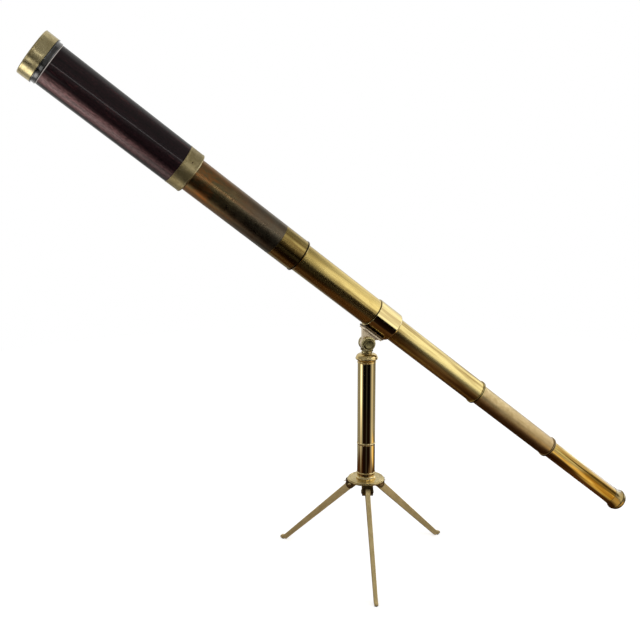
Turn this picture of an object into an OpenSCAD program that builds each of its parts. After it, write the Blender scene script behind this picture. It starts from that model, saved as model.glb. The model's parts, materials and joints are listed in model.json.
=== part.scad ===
// Terrestrial telescope with five brass draws and a wood-covered barrel, on a brass pillar with three
// folding legs. The origin lies on the pillar's axis at table level, with +Z up. The tube lies in the
// XZ plane, its eyepiece towards +X. Lengths are in millimetres.

/* [Barrel] */
// Outside diameter of the wooden barrel cover
barrel_d = 56; // [48:0.5:66]
// Wall of the wooden cover
wood_wall = 2.35; // [1.8:0.05:3.5]
// Wall of the brass tube inside the wood
barrel_tube_wall = 0.6; // [0.5:0.05:1.2]
// Length of the wooden cover
wood_len = 189.8; // [150:0.1:220]
// How far the objective rim stands out past the wood, on the radius
rim_step = 2.7; // [2:0.1:4]
// Length of the objective rim
rim_len = 17.4; // [16:0.1:26]
// Length of the black ring between the rim and the wood
front_ring_len = 6.7; // [6:0.1:12]
// Height of the black ring's bead over the wood, on the radius
front_ring_bead = 1.25; // [1:0.05:1.8]
// Length of the brass collar at the barrel's rear end
barrel_collar_len = 21; // [20:0.1:30]
// How far that collar stands out past the wood, on the radius
barrel_collar_step = 0.25; // [0.1:0.05:0.8]

/* [Draws] */
// Wall of each draw tube
draw_wall = 0.8; // [0.6:0.05:1.1]
// Wall of the guide sleeve in the barrel, which carries draw 1
guide_1_wall = 1.9; // [1.4:0.05:2.4]
// Wall of the guide sleeve in draw 1, which carries draw 2
guide_2_wall = 1.75; // [1.2:0.05:2.2]
// Wall of the guide sleeve in draw 2, which carries draw 3
guide_3_wall = 2.05; // [1.2:0.05:2.4]
// Wall of the guide sleeve in draw 3, which carries draw 4
guide_4_wall = 1.2; // [0.9:0.05:1.6]
// Wall of the guide sleeve in draw 4, which carries draw 5
guide_5_wall = 0.75; // [0.6:0.05:1.2]
// Length of draw 1 that shows when it is pulled out
draw_1_out = 180.9; // [150:0.1:190]
// Length of draw 2 that shows in front of the mount collar
draw_2_out = 134.7; // [100:0.1:160]
// Length of draw 3 that shows behind the mount collar
draw_3_out = 175; // [140:0.1:176]
// Length of draw 4 that shows
draw_4_out = 162.2; // [140:0.1:168]
// Length of draw 5 that shows in front of the eyepiece bell
draw_5_out = 151.4; // [130:0.1:160]
// Length of each guide sleeve, lip included
guide_len = 25; // [18:0.5:28]
// Length of a draw that stays inside when it is pulled out
overlap = 31; // [28.5:0.5:36]
// Length of the polished ferrule at the end of draw 1
ferrule_1_len = 39.8; // [30:0.1:50]
// Length of the raised lip at the end of a draw
lip_len = 4; // [2.5:0.1:6]
// Height of that lip over the draw
lip_step = 1.3; // [0.4:0.05:1.6]

/* [Eyepiece] */
// Length of the eyepiece bell
bell_len = 25.7; // [20:0.1:34]
// How far the bell's flange stands out past draw 5, on the radius
bell_step = 3.3; // [1.2:0.1:4]
// Diameter of the eye hole
eye_hole_d = 7; // [4:0.5:10]

/* [Mount] */
// Slope of the tube, from the objective down to the eyepiece, in degrees
tube_slope = 38.1; // [20:0.1:38.5]
// Length of the mount collar on the end of draw 2
collar_len = 40.4; // [38:0.1:56]
// How far the collar's middle lies behind the pivot, towards the eyepiece
collar_shift = -1.5; // [-4:0.1:2]
// Rounding of the collar's rear end
collar_shoulder = 3; // [1:0.1:4]
// Wall of the mount collar
collar_wall = 1.4; // [1:0.1:2.5]
// Distance from the collar's underside to the tilt pivot
pivot_below_collar = 17.4; // [17:0.1:24]
// Radius of the tilt knuckle
knuckle_r = 10.3; // [9:0.1:11.5]
// Thickness of the tongue in the knuckle
tongue_t = 7.4; // [5:0.1:9]
// Thickness of each fork cheek
cheek_t = 4.3; // [3:0.1:6]
// Height of the tilt pivot over the swivel washer
pivot_rise = 13.2; // [13:0.1:20]
// Radius of the pivot screw's head
pivot_head_r = 7.9; // [6:0.1:9]
// Diameter of the pivot screw's shank
pivot_screw_d = 6; // [5:0.1:8]

/* [Pillar] */
// Outside diameter of the pillar tubes
pillar_d = 25.8; // [22:0.1:32]
// Wall of the pillar tubes
pillar_wall = 1.5; // [1:0.1:2.5]
// Length of the lower pillar tube
lower_tube_len = 41.2; // [30:0.1:60]
// Length of the upper pillar tube
upper_tube_len = 117.5; // [100:0.1:150]
// Length of the ring where the pillar tubes join
joint_ring_len = 3.8; // [3:0.1:6]
// Height of the turned cap over the upper tube
cap_h = 14.3; // [13.5:0.1:18]
// Height of the flared foot under the lower tube
foot_h = 10; // [8:0.1:14]

/* [Tripod] */
// Diameter of the disc that carries the legs
disc_d = 54; // [51:0.5:64]
// Thickness of that disc
disc_t = 4; // [3:0.1:6]
// Radius of the circle on which the leg hinges lie
hinge_r = 22.5; // [20:0.1:24]
// Height of the leg hinges over the table
hinge_h = 112.8; // [95:0.1:125]
// Radius of the circle on which the feet stand
leg_spread = 140.3; // [125:0.1:160]
// Direction of the right leg, measured from the tube's plane, in degrees
leg_turn = 15.4; // [0:0.1:59]
// Width of a leg at its hinge
leg_top_w = 11.3; // [9:0.1:12]
// Width of a leg at its foot
leg_end_w = 7.3; // [5:0.1:9]
// Thickness of a leg at its hinge
leg_top_t = 6.6; // [5:0.1:8]
// Thickness of a leg at its foot
leg_end_t = 5.3; // [4:0.1:7]
// Radius of a leg's head round its hinge pin
leg_head_r = 6.4; // [6:0.1:7]
// Thickness of each cheek of a leg fork
lug_cheek_t = 4.2; // [3:0.1:5]
// Diameter of the hinge pins
hinge_pin_d = 4; // [3:0.1:5]

/* [Hidden] */
$fn = 96;

// Clearances: a sliding fit, a seat between fixed pieces, a stop, and the side play of a hinge
slide = 0.1;
seat = 0.04;
stop_gap = 0.3;
play = 0.25;
edge = 0.5;

// Colours
satin_brass = [0.74, 0.60, 0.34];
bright_brass = [0.86, 0.66, 0.26];
aged_brass = [0.45, 0.36, 0.18];
olive_brass = [0.62, 0.56, 0.36];
rosewood = [0.20, 0.07, 0.04];
black_lacquer = [0.03, 0.03, 0.03];
dark_steel = [0.16, 0.14, 0.12];
glass_tint = [0.78, 0.86, 0.88, 0.5];

// Radii, worked inwards from the barrel
wood_r = barrel_d / 2;
barrel_tube_r = wood_r - wood_wall - seat;
barrel_bore = barrel_tube_r - barrel_tube_wall;
draw_1_r = barrel_bore - guide_1_wall - slide;
draw_1_bore = draw_1_r - draw_wall;
draw_2_r = draw_1_bore - guide_2_wall - slide;
draw_2_bore = draw_2_r - draw_wall;
draw_3_r = draw_2_bore - guide_3_wall - slide;
draw_3_bore = draw_3_r - draw_wall;
draw_4_r = draw_3_bore - guide_4_wall - slide;
draw_4_bore = draw_4_r - draw_wall;
draw_5_r = draw_4_bore - guide_5_wall - slide;
draw_5_bore = draw_5_r - draw_wall;
ferrule_1_bore = draw_1_bore - 0.75;
rim_r = wood_r + rim_step;
barrel_collar_r = wood_r + barrel_collar_step;
collar_bore = draw_2_r + seat;
collar_r = collar_bore + collar_wall;
bell_r = draw_5_r + bell_step;
axis_drop = collar_r + pivot_below_collar;

// Stations along the tube's axis: zero is over the pivot, and the eyepiece is on the positive side
collar_front = collar_shift - collar_len / 2;
collar_rear = collar_shift + collar_len / 2;
draw_1_end = collar_front - draw_2_out;
ferrule_1_start = draw_1_end - ferrule_1_len;
barrel_end = draw_1_end - draw_1_out;
wood_end = barrel_end - barrel_collar_len;
wood_start = wood_end - wood_len;
rim_rear = wood_start - front_ring_len;
rim_front = rim_rear - rim_len;
draw_3_end = collar_rear + draw_3_out;
draw_4_end = draw_3_end + draw_4_out;
bell_start = draw_4_end + draw_5_out;
bell_end = bell_start + bell_len;
barrel_lip = 3;
pin_len = 2.2;

// Objective: the cell sits in the rim, and the black ring's spigot holds it there
rim_lip = 2.5;
spigot_len = 5;
spigot_r = barrel_tube_r + seat + 1.5;
rim_bore = spigot_r + seat;
cell_front = rim_front + rim_lip;
cell_rear = rim_rear - spigot_len;
cell_lip = 1.5;
lens_r = spigot_r - 1.65;
mouth_r = lens_r - 0.9;
flint_edge = 2.4;
lens_ring_len = 1.8;
flint_rear = cell_rear - lens_ring_len;
flint_front = flint_rear - flint_edge;
lens_bulge = 1.6;
lens_cup = 1.5;
lens_seat = 0.2;

// Erector and eyepiece inside draw 5
inner_wall = 0.9;
inner_r = draw_5_bore - seat;
inner_bore = inner_r - inner_wall;
inner_lens_r = inner_bore - seat;
erector_len = 68;
small_edge = 2;
small_bulge = 1.2;
draw_5_front = draw_4_end - overlap;
erector_start = draw_5_front + 8;
erector_end = erector_start + erector_len;
eyepiece_len = 40;
eyepiece_start = bell_start - eyepiece_len;
bell_spigot = 6;
eye_lens_r = eye_hole_d / 2 + 3.2;
eye_plate = 2.4;

// Mount: the saddle flange under the collar, and the tongue screwed to it
flange_sink = 0.5;
flange_t = 2.4;
flange_w = 26;
flange_len = 33.4;
flange_front = collar_front + 1;
flange_rear = flange_front + flange_len;
flange_top = collar_r - flange_sink;
flange_bottom = flange_top + flange_t;
saddle_w = 13;
head_plate_t = 2.4;
head_plate_w = 23;
tongue_top = flange_bottom + head_plate_t;
eye_r = knuckle_r - 0.5;
collar_screw_pitch = 9.6;
collar_screw_y = 10.4;
collar_screw_r = 1.1;
collar_head_r = 2.1;
collar_head_h = 1;
pivot_shank_r = pivot_screw_d / 2;
fork_w = tongue_t + 2 * play + 2 * cheek_t;

// Tripod and pillar heights over the table
lug_base_t = 2.5;
lug_r = leg_head_r - 0.2;
lug_w = leg_top_t + 2 * play + 2 * lug_cheek_t;
disc_bottom = hinge_h + leg_head_r + stop_gap + lug_base_t;
disc_top = disc_bottom + disc_t;
lower_tube_z = disc_top + foot_h;
joint_z = lower_tube_z + lower_tube_len;
upper_tube_z = joint_z + joint_ring_len;
cap_z = upper_tube_z + upper_tube_len;
cap_top = cap_z + cap_h;
washer_t = 0.8;
fork_z = cap_top + washer_t;
pivot_z = fork_z + pivot_rise;
pillar_r = pillar_d / 2;
pillar_bore = pillar_r - pillar_wall;
plug_len = 12;
stem_r = 4;
neck_r = 7.7;
nut_seat = cap_z - 6;
swivel_nut_h = 4.4;
foot_screw_r = 4;

// Legs, in the plane of one leg with its hinge at zero
toe_t = 4.6;
toe_len = 8;
stud_h = 1.2;
stud_r = 2.4;
stud_pin_r = 1.2;
stud_pin_len = 2.6;
leg_reach = leg_spread - hinge_r - toe_len / 2;
leg_fall = hinge_h - stud_h - toe_t / 2;
leg_slope = atan2(leg_fall, leg_reach);
hinge_pin_r = hinge_pin_d / 2;

function arc(cx, cy, r, from, to, steps = 8) =
  [for (i = [0 : steps]) let (a = from + (to - from) * i / steps) [cx + r * cos(a), cy + r * sin(a)]];

// A shallow lens face from the axis out to its edge
function bulge(r, edge_z, rise, steps = 10) =
  [for (i = [0 : steps]) let (t = i / steps) [r * t, edge_z + rise * (1 - t * t)]];

function backwards(points) = [for (i = [len(points) - 1 : -1 : 0]) points[i]];

// Placed on the pivot: x away from the tube, z along the tube towards the eyepiece
module at_pivot() {
  translate([0, 0, pivot_z]) rotate([0, 90 + tube_slope, 0]) children();
}

// Placed on the tube's axis, with the pivot at x = axis_drop
module on_tube() {
  at_pivot() translate([-axis_drop, 0, 0]) children();
}

module turned(points) {
  rotate_extrude() polygon(points);
}

module sleeve(r_in, r_out, z_from, z_to) {
  turned([[r_in, z_from], [r_out, z_from], [r_out, z_to], [r_in, z_to]]);
}

// A ring on the front end of a draw, which the guide ahead of it stops
module stop_ring(r, bore, r_outer, front) {
  rear = front + overlap - guide_len - stop_gap;
  turned([
    [bore, front], [r_outer - edge, front], [r_outer, front + edge], [r_outer, rear],
    [r + seat, rear], [r + seat, front + 1], [bore, front + 1]
  ]);
}

// A guide sleeve with a raised lip that closes the end of a draw
module lip_ferrule(r, bore, next_r, end) {
  lip_start = end - lip_len;
  lip_r = r + lip_step;
  guide_r = bore - seat;
  turned(concat(
    [[next_r + slide, end - guide_len], [guide_r, end - guide_len], [guide_r, lip_start]],
    [[lip_r - 0.5, lip_start]],
    arc(lip_r - 0.5, lip_start + 0.5, 0.5, -90, 0, 4),
    arc(lip_r - 1.2, end - 1.2, 1.2, 0, 90, 6),
    [[next_r + slide, end]]
  ));
}

module lens(r, front, front_rise, rear, rear_rise) {
  turned(concat(bulge(r, front, -front_rise), backwards(bulge(r, rear, rear_rise))));
}

module at_leg(number) {
  rotate([0, 0, leg_turn + 120 * number]) translate([hinge_r, 0, hinge_h]) children();
}

// Lays an outline drawn as x and height into the XZ plane
module upright(thickness) {
  rotate([90, 0, 0]) linear_extrude(thickness, center = true) children();
}

module cross_hole(r, length) {
  rotate([90, 0, 0]) cylinder(r = r, h = length, center = true);
}

// Pillar
module pillar_cap() {
  dome_z = cap_z + 8.5;
  dome_h = cap_top - 0.5 - dome_z;
  dome_w = pillar_r + 2.4 - neck_r;
  dome = [for (i = [0 : 8]) let (a = 10 * i) [neck_r + dome_w * cos(a), dome_z + dome_h * sin(a)]];
  color(bright_brass) difference() {
    rotate_extrude() polygon(concat(
      [[0, cap_z - plug_len], [pillar_bore - seat, cap_z - plug_len], [pillar_bore - seat, cap_z]],
      arc(pillar_r - 0.1, cap_z + 0.8, 0.8, -90, 90, 6),
      arc(pillar_r + 2.6, cap_z + 1.9, 2.6, 180, 125, 6),
      arc(pillar_r + 0.85, cap_z + 6.9, 2.4, -70, 25, 8),
      dome,
      [[neck_r, cap_top - 0.5], [neck_r, cap_top], [0, cap_top]]
    ));
    translate([0, 0, cap_z - plug_len - 1]) cylinder(r = stem_r + slide, h = plug_len + cap_h + 2);
    translate([0, 0, cap_z - plug_len - 1]) cylinder(r = 8, h = plug_len + 1 + nut_seat - cap_z);
  }
}

module pillar_upper_tube() {
  color(bright_brass) sleeve(pillar_bore, pillar_r, upper_tube_z, cap_z);
}

module pillar_joint_ring() {
  plug = pillar_bore - seat;
  mid = joint_z + joint_ring_len / 2;
  color(bright_brass) turned(concat(
    [[plug - 2, joint_z - plug_len], [plug, joint_z - plug_len], [plug, joint_z]],
    [[pillar_r, joint_z], [pillar_r, mid - 1.2]],
    arc(pillar_r - 0.4, mid, 0.95, -60, 60, 6),
    [[pillar_r, mid + 1.2], [pillar_r, upper_tube_z], [plug, upper_tube_z]],
    [[plug, upper_tube_z + plug_len], [plug - 2, upper_tube_z + plug_len]]
  ));
}

module pillar_lower_tube() {
  color(bright_brass) sleeve(pillar_bore, pillar_r, lower_tube_z, joint_z);
}

module pillar_foot() {
  color(bright_brass) difference() {
    turned(concat(
      [[0, disc_top], [pillar_r + 1.6, disc_top], [pillar_r + 1.6, disc_top + 1.6]],
      arc(pillar_r + 2.2, disc_top + 4, 2.2, 230, 180, 5),
      [[pillar_r, lower_tube_z - 2.2]],
      arc(pillar_r, lower_tube_z - 1.1, 0.7, -80, 80, 6),
      [[pillar_r, lower_tube_z], [pillar_bore - seat, lower_tube_z]],
      [[pillar_bore - seat, lower_tube_z + plug_len], [0, lower_tube_z + plug_len]]
    ));
    translate([0, 0, disc_top - 1]) cylinder(r = foot_screw_r + seat, h = foot_h + plug_len - 1);
  }
}

module pillar_screw() {
  head_h = 3;
  color(satin_brass) difference() {
    union() {
      translate([0, 0, disc_bottom - head_h]) cylinder(r = 7.5, h = head_h);
      translate([0, 0, disc_bottom - 1]) cylinder(r = foot_screw_r, h = disc_t + foot_h + plug_len - 2);
    }
    translate([-10, -0.7, disc_bottom - head_h - 1]) cube([20, 1.4, 2.2]);
  }
}

// Tripod head
module tripod_disc() {
  r = disc_d / 2;
  color(satin_brass) difference() {
    turned(concat(
      [[0, disc_bottom], [r - 0.8, disc_bottom], [r, disc_bottom + 0.6], [r, disc_bottom + 1.8]],
      [[r - 0.7, disc_bottom + 2.1]],
      arc(r - 1.9, disc_top - 1.2, 1.2, 0, 90, 5),
      [[r - 3.4, disc_top], [r - 3.7, disc_top - 0.4], [r - 4.3, disc_top - 0.4], [r - 4.6, disc_top]],
      [[0, disc_top]]
    ));
    translate([0, 0, disc_bottom - 1]) cylinder(r = foot_screw_r + seat, h = disc_t + 2);
  }
}

module leg_fork(number) {
  slot = leg_top_t + 2 * play;
  lug_top = disc_bottom - hinge_h;
  color(satin_brass) at_leg(number) difference() {
    upright(lug_w) {
      circle(lug_r);
      translate([-lug_r, 0]) square([2 * lug_r, lug_top]);
    }
    translate([-20, -slot / 2, -20]) cube([40, slot, 20 + lug_top - lug_base_t]);
    cross_hole(hinge_pin_r + seat, lug_w + 2);
  }
}

module leg_fork_right() { leg_fork(0); }
module leg_fork_left() { leg_fork(1); }
module leg_fork_front() { leg_fork(2); }

module leg_pins() {
  head_h = 1.2;
  color(satin_brass) for (number = [0 : 2]) at_leg(number) {
    cross_hole(hinge_pin_r, lug_w);
    for (side = [-1, 1])
      translate([0, side * (lug_w / 2 + head_h / 2), 0]) cross_hole(hinge_pin_r + 0.9, head_h);
  }
}

// Outline of one leg: a round head, a heel that meets the fork, a tapered bar and a bent toe
module leg_outline() {
  along = [cos(leg_slope), -sin(leg_slope)];
  across = [sin(leg_slope), cos(leg_slope)];
  foot = [leg_reach, -leg_fall];
  head_angle = asin(leg_top_w / 2 / leg_head_r);
  end_half = leg_end_w / 2;
  sole = (toe_t / 2 - end_half * across[1]) / sin(leg_slope);
  polygon(concat(
    [[5.6, leg_head_r], across * leg_top_w / 2 + along * 8, foot + across * end_half],
    [foot + [across[0] * end_half + 1, toe_t / 2]],
    arc(foot[0] + toe_len - toe_t / 2, foot[1], toe_t / 2, 90, -90, 8),
    [foot + [along[0] * sole - across[0] * end_half, -toe_t / 2]],
    arc(0, 0, leg_head_r, -leg_slope - head_angle, -270, 16)
  ));
}

module leg(number) {
  color(olive_brass) at_leg(number) difference() {
    intersection() {
      upright(2 * leg_top_t) leg_outline();
      translate([0, 0, -2 * hinge_h]) linear_extrude(3 * hinge_h) polygon([
        [-20, leg_top_t / 2], [0, leg_top_t / 2], [leg_reach + 20, leg_end_t / 2],
        [leg_reach + 20, -leg_end_t / 2], [0, -leg_top_t / 2], [-20, -leg_top_t / 2]
      ]);
    }
    cross_hole(hinge_pin_r + slide, 2 * leg_top_t);
    translate([leg_reach + toe_len / 2, 0, stud_h - hinge_h - 1])
      cylinder(r = stud_pin_r + seat, h = stud_pin_len + 1 + seat);
  }
}

module leg_right() { leg(0); }
module leg_left() { leg(1); }
module leg_front() { leg(2); }

module foot_stud(number) {
  color(black_lacquer) at_leg(number) translate([leg_reach + toe_len / 2, 0, -hinge_h]) {
    cylinder(r = stud_r, h = stud_h);
    cylinder(r = stud_pin_r, h = stud_h + stud_pin_len);
  }
}

module foot_stud_right() { foot_stud(0); }
module foot_stud_left() { foot_stud(1); }
module foot_stud_front() { foot_stud(2); }

// Swivel and tilt
module swivel_washer() {
  color(dark_steel) sleeve(stem_r + slide, neck_r - 0.4, cap_top, fork_z - slide);
}

module swivel_nut() {
  color(dark_steel) sleeve(stem_r + seat, 6.6, nut_seat - slide - swivel_nut_h, nut_seat - slide);
}

module knuckle_fork() {
  slot = tongue_t + 2 * play;
  stem_end = nut_seat - slide - swivel_nut_h - 0.6;
  color(olive_brass) difference() {
    union() {
      translate([0, 0, stem_end]) cylinder(r = stem_r, h = fork_z - stem_end + 1);
      turned([
        [0, fork_z], [neck_r, fork_z], [neck_r, fork_z + 1.2], [neck_r - 0.9, fork_z + 2.2],
        [neck_r - 0.9, fork_z + 3.2], [0, fork_z + 3.2]
      ]);
      translate([0, 0, pivot_z]) upright(fork_w) {
        circle(knuckle_r);
        translate([-neck_r + 1, -pivot_rise + 2.2]) square([2 * neck_r - 2, pivot_rise - 2.2]);
      }
    }
    translate([-20, -slot / 2, pivot_z - eye_r - 0.6]) cube([40, slot, 40]);
    translate([0, 0, pivot_z]) cross_hole(pivot_shank_r + seat, fork_w + 2);
  }
}

module pivot_screw() {
  head_h = 2.6;
  color(olive_brass) translate([0, -fork_w / 2, pivot_z]) rotate([90, 0, 0]) difference() {
    union() {
      turned(concat(
        [[0, 0], [pivot_head_r, 0]], arc(pivot_head_r - 1.2, 1.4, 1.2, 0, 70, 6), [[0, head_h + 0.2]]
      ));
      translate([0, 0, -fork_w - 5.2]) cylinder(r = pivot_shank_r, h = fork_w + 5.4);
    }
    translate([-10, -0.6, head_h - 0.9]) cube([20, 1.2, 4]);
  }
}

module pivot_nut() {
  nut_h = 4.4;
  color(olive_brass) translate([0, fork_w / 2 + nut_h, pivot_z]) rotate([90, 0, 0]) difference() {
    turned([
      [0, 0], [5.6, 0], [6.6, 0.8], [6.6, nut_h - 0.4], [6.2, nut_h], [0, nut_h]
    ]);
    translate([0, 0, -1]) cylinder(r = pivot_shank_r + seat, h = nut_h + 2);
  }
}

module collar_screw_places() {
  middle = (flange_front + flange_rear) / 2;
  for (side = [-1, 1], place = [-1, 0, 1])
    translate([flange_top, side * collar_screw_y, middle + place * collar_screw_pitch])
      rotate([0, 90, 0]) children();
}

module mount_collar() {
  lip = 3;
  color(bright_brass) on_tube() difference() {
    union() {
      turned(concat(
        [[0, collar_front], [collar_r - edge, collar_front], [collar_r, collar_front + edge]],
        arc(collar_r - collar_shoulder, collar_rear - collar_shoulder, collar_shoulder, 0, 90, 8),
        [[0, collar_rear]]
      ));
      translate([collar_bore * 0.7, -saddle_w / 2, flange_front])
        cube([flange_bottom - collar_bore * 0.7, saddle_w, flange_len]);
      translate([flange_top, -flange_w / 2, flange_front]) cube([flange_t, flange_w, flange_len]);
    }
    translate([0, 0, collar_front - 1]) cylinder(r = collar_bore, h = collar_len + 1 - lip);
    translate([0, 0, collar_front - 1]) cylinder(r = draw_3_r + slide, h = collar_len + 2);
    collar_screw_places() translate([0, 0, -1]) cylinder(r = collar_screw_r + seat, h = flange_t + 2);
  }
}

// A point in the tube's plane, given from the pivot: level towards the eyepiece, and plumb upwards
function plumb(level, up) = [
  axis_drop - level * sin(tube_slope) - up * cos(tube_slope), level * cos(tube_slope) - up * sin(tube_slope)
];

// The web's front edge hangs plumb and its rear edge runs level, with a hollow corner at the eye
module tilt_tongue() {
  web_front = flange_front + 1.2;
  web_rear = flange_rear - 2;
  shelf = (axis_drop - tongue_top) * cos(tube_slope) - web_rear * sin(tube_slope);
  color(olive_brass) on_tube() difference() {
    union() {
      translate([flange_bottom, -head_plate_w / 2, flange_front + 1])
        cube([head_plate_t, head_plate_w, flange_len - 2]);
      upright(tongue_t) {
        translate([axis_drop, 0]) circle(eye_r);
        polygon([
          [tongue_top - 1, web_front], [tongue_top, web_front],
          [axis_drop, web_front + (axis_drop - tongue_top) * tan(tube_slope)],
          [axis_drop, 0], plumb(eye_r * 0.98, shelf - 1.9), plumb(eye_r + 0.6, shelf - 0.6),
          plumb(eye_r + 2, shelf), [tongue_top, web_rear], [tongue_top - 1, web_rear]
        ]);
      }
    }
    translate([axis_drop, 0, 0]) cross_hole(pivot_shank_r + slide, tongue_t + 2);
    collar_screw_places() cylinder(r = collar_screw_r + seat, h = flange_t + head_plate_t - 0.6);
  }
}

module collar_screws() {
  color(satin_brass) on_tube() collar_screw_places() {
    cylinder(r = collar_screw_r, h = flange_t + head_plate_t - 0.8);
    turn = [0, 180, 0];
    rotate(turn) turned(concat(
      [[0, 0], [collar_head_r, 0]],
      arc(collar_head_r - 0.6, collar_head_h - 0.6, 0.6, 0, 90, 4),
      [[0, collar_head_h]]
    ));
  }
}

// Barrel
module barrel_wood() {
  r_in = barrel_tube_r + seat;
  color(rosewood) on_tube() turned([
    [r_in, wood_start], [wood_r - 0.3, wood_start], [wood_r, wood_start + 0.3],
    [wood_r, wood_end - 0.3], [wood_r - 0.3, wood_end], [r_in, wood_end]
  ]);
}

module barrel_tube() {
  color(aged_brass) on_tube() sleeve(barrel_bore, barrel_tube_r, rim_rear + 1, barrel_end - barrel_lip);
}

module barrel_front_ring() {
  r_in = barrel_tube_r + seat;
  lip_r = rim_r + 0.3;
  lip_end = rim_rear + 1.3;
  groove_r = wood_r + 0.7 * front_ring_bead;
  bead_r = 0.9;
  color(black_lacquer) on_tube() turned(concat(
    [[r_in, rim_rear + 0.6], [barrel_bore, rim_rear + 0.6], [barrel_bore, rim_rear - spigot_len]],
    [[spigot_r, rim_rear - spigot_len], [spigot_r, rim_rear], [lip_r - 0.3, rim_rear]],
    arc(lip_r - 0.3, rim_rear + 0.3, 0.3, -90, 0, 3),
    arc(lip_r - 0.3, lip_end - 0.3, 0.3, 0, 90, 3),
    [[groove_r, lip_end]],
    arc(wood_r + front_ring_bead - bead_r, wood_start - 1.2, bead_r, -40, 70, 8),
    [[wood_r, wood_start - 0.3], [wood_r - 0.3, wood_start], [r_in, wood_start]]
  ));
}

module barrel_collar() {
  r_seat = barrel_tube_r + seat;
  r = barrel_collar_r;
  bright_line = 1.6;
  color(satin_brass) on_tube() difference() {
    turned([
      [r_seat, wood_end], [r - 0.2, wood_end], [r, wood_end + 0.2], [r, wood_end + bright_line],
      [r - 0.2, wood_end + bright_line + 0.3], [r - 0.2, barrel_end - bright_line - 1.3],
      [r, barrel_end - bright_line - 1], [r, barrel_end - 1], [r - 0.9, barrel_end],
      [draw_1_r + slide, barrel_end], [draw_1_r + slide, barrel_end - barrel_lip],
      [r_seat, barrel_end - barrel_lip]
    ]);
    barrel_pin_places() translate([0, 0, -pin_len]) cylinder(r = 1.1 + seat, h = pin_len + 1);
  }
}

module barrel_pin_places() {
  for (angle = [250, 10, 130])
    rotate([0, 0, angle]) translate([barrel_collar_r, 0, wood_end + barrel_collar_len / 2])
      rotate([0, 90, 0]) children();
}

module barrel_pins() {
  color(satin_brass) on_tube() barrel_pin_places() translate([0, 0, -pin_len]) cylinder(r = 1.1, h = pin_len);
}

module barrel_guide() {
  guide_end = barrel_end - barrel_lip;
  color(satin_brass) on_tube()
    sleeve(draw_1_r + slide, barrel_bore - seat, barrel_end - guide_len, guide_end);
}

module objective_rim() {
  color(satin_brass) on_tube() turned([
    [mouth_r + 1, rim_front], [rim_r - 1, rim_front], [rim_r, rim_front + 1], [rim_r, rim_front + 2.2],
    [rim_r - 0.25, rim_front + 2.4], [rim_r - 0.25, rim_front + 2.8], [rim_r, rim_front + 3],
    [rim_r, rim_rear - 0.6], [rim_r - 0.6, rim_rear], [rim_bore, rim_rear],
    [rim_bore, cell_front], [mouth_r, cell_front], [mouth_r, rim_front + 1]
  ]);
}

module objective_cell() {
  color(aged_brass) on_tube() turned([
    [mouth_r, cell_front], [spigot_r, cell_front], [spigot_r, cell_rear], [lens_r + seat, cell_rear],
    [lens_r + seat, cell_front + cell_lip], [mouth_r, cell_front + cell_lip]
  ]);
}

module crown_lens() {
  color(glass_tint) on_tube()
    lens(lens_r, cell_front + cell_lip + lens_seat, lens_bulge, flint_front - seat, lens_cup);
}

module flint_lens() {
  color(glass_tint) on_tube() lens(lens_r, flint_front, -lens_cup, flint_rear, 0.3);
}

module lens_ring() {
  color(aged_brass) on_tube() sleeve(mouth_r, lens_r, flint_rear + seat, cell_rear);
}

// Draws
module draw_tube(r, front, rear) {
  sleeve(r - draw_wall, r, front + 1, rear);
}

module draw_1_tube() {
  color(aged_brass) on_tube() draw_tube(draw_1_r, barrel_end - overlap, ferrule_1_start);
}

module draw_1_ferrule() {
  spigot = 8;
  lip = 3;
  inner = draw_2_r + slide;
  relief = ferrule_1_bore;
  lip_r = draw_1_r + 0.6;
  color(bright_brass) on_tube() turned(concat(
    [[relief, ferrule_1_start - spigot], [draw_1_bore - seat, ferrule_1_start - spigot]],
    [[draw_1_bore - seat, ferrule_1_start], [draw_1_r, ferrule_1_start], [draw_1_r, draw_1_end - lip]],
    arc(lip_r - 0.4, draw_1_end - lip + 0.4, 0.4, -90, 0, 4),
    arc(lip_r - 0.9, draw_1_end - 0.9, 0.9, 0, 90, 5),
    [[inner, draw_1_end], [inner, draw_1_end - guide_len], [relief, draw_1_end - guide_len]]
  ));
}

module draw_1_stop() {
  color(satin_brass) on_tube()
    stop_ring(draw_1_r, draw_1_bore, barrel_bore - 2 * slide, barrel_end - overlap);
}

module draw_2_tube() {
  color(bright_brass) on_tube() draw_tube(draw_2_r, draw_1_end - overlap, collar_rear - 3 - seat);
}

module draw_2_guide() {
  color(satin_brass) on_tube()
    sleeve(draw_3_r + slide, draw_2_bore - seat, collar_rear - guide_len, collar_rear - 3 - seat);
}

module draw_2_stop() {
  color(satin_brass) on_tube()
    stop_ring(draw_2_r, draw_2_bore, ferrule_1_bore - 2 * slide, draw_1_end - overlap);
}

module draw_3_tube() {
  color(bright_brass) on_tube() draw_tube(draw_3_r, collar_rear - overlap, draw_3_end - lip_len);
}

module draw_3_ferrule() {
  color(bright_brass) on_tube() lip_ferrule(draw_3_r, draw_3_bore, draw_4_r, draw_3_end);
}

module draw_3_stop() {
  color(satin_brass) on_tube()
    stop_ring(draw_3_r, draw_3_bore, draw_2_bore - 2 * slide, collar_rear - overlap);
}

module draw_4_tube() {
  color(satin_brass) on_tube() draw_tube(draw_4_r, draw_3_end - overlap, draw_4_end - lip_len);
}

module draw_4_ferrule() {
  color(satin_brass) on_tube() lip_ferrule(draw_4_r, draw_4_bore, draw_5_r, draw_4_end);
}

module draw_4_stop() {
  color(satin_brass) on_tube()
    stop_ring(draw_4_r, draw_4_bore, draw_3_bore - 2 * slide, draw_3_end - overlap);
}

module draw_5_tube() {
  color(bright_brass) on_tube() draw_tube(draw_5_r, draw_5_front, bell_start);
}

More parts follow.
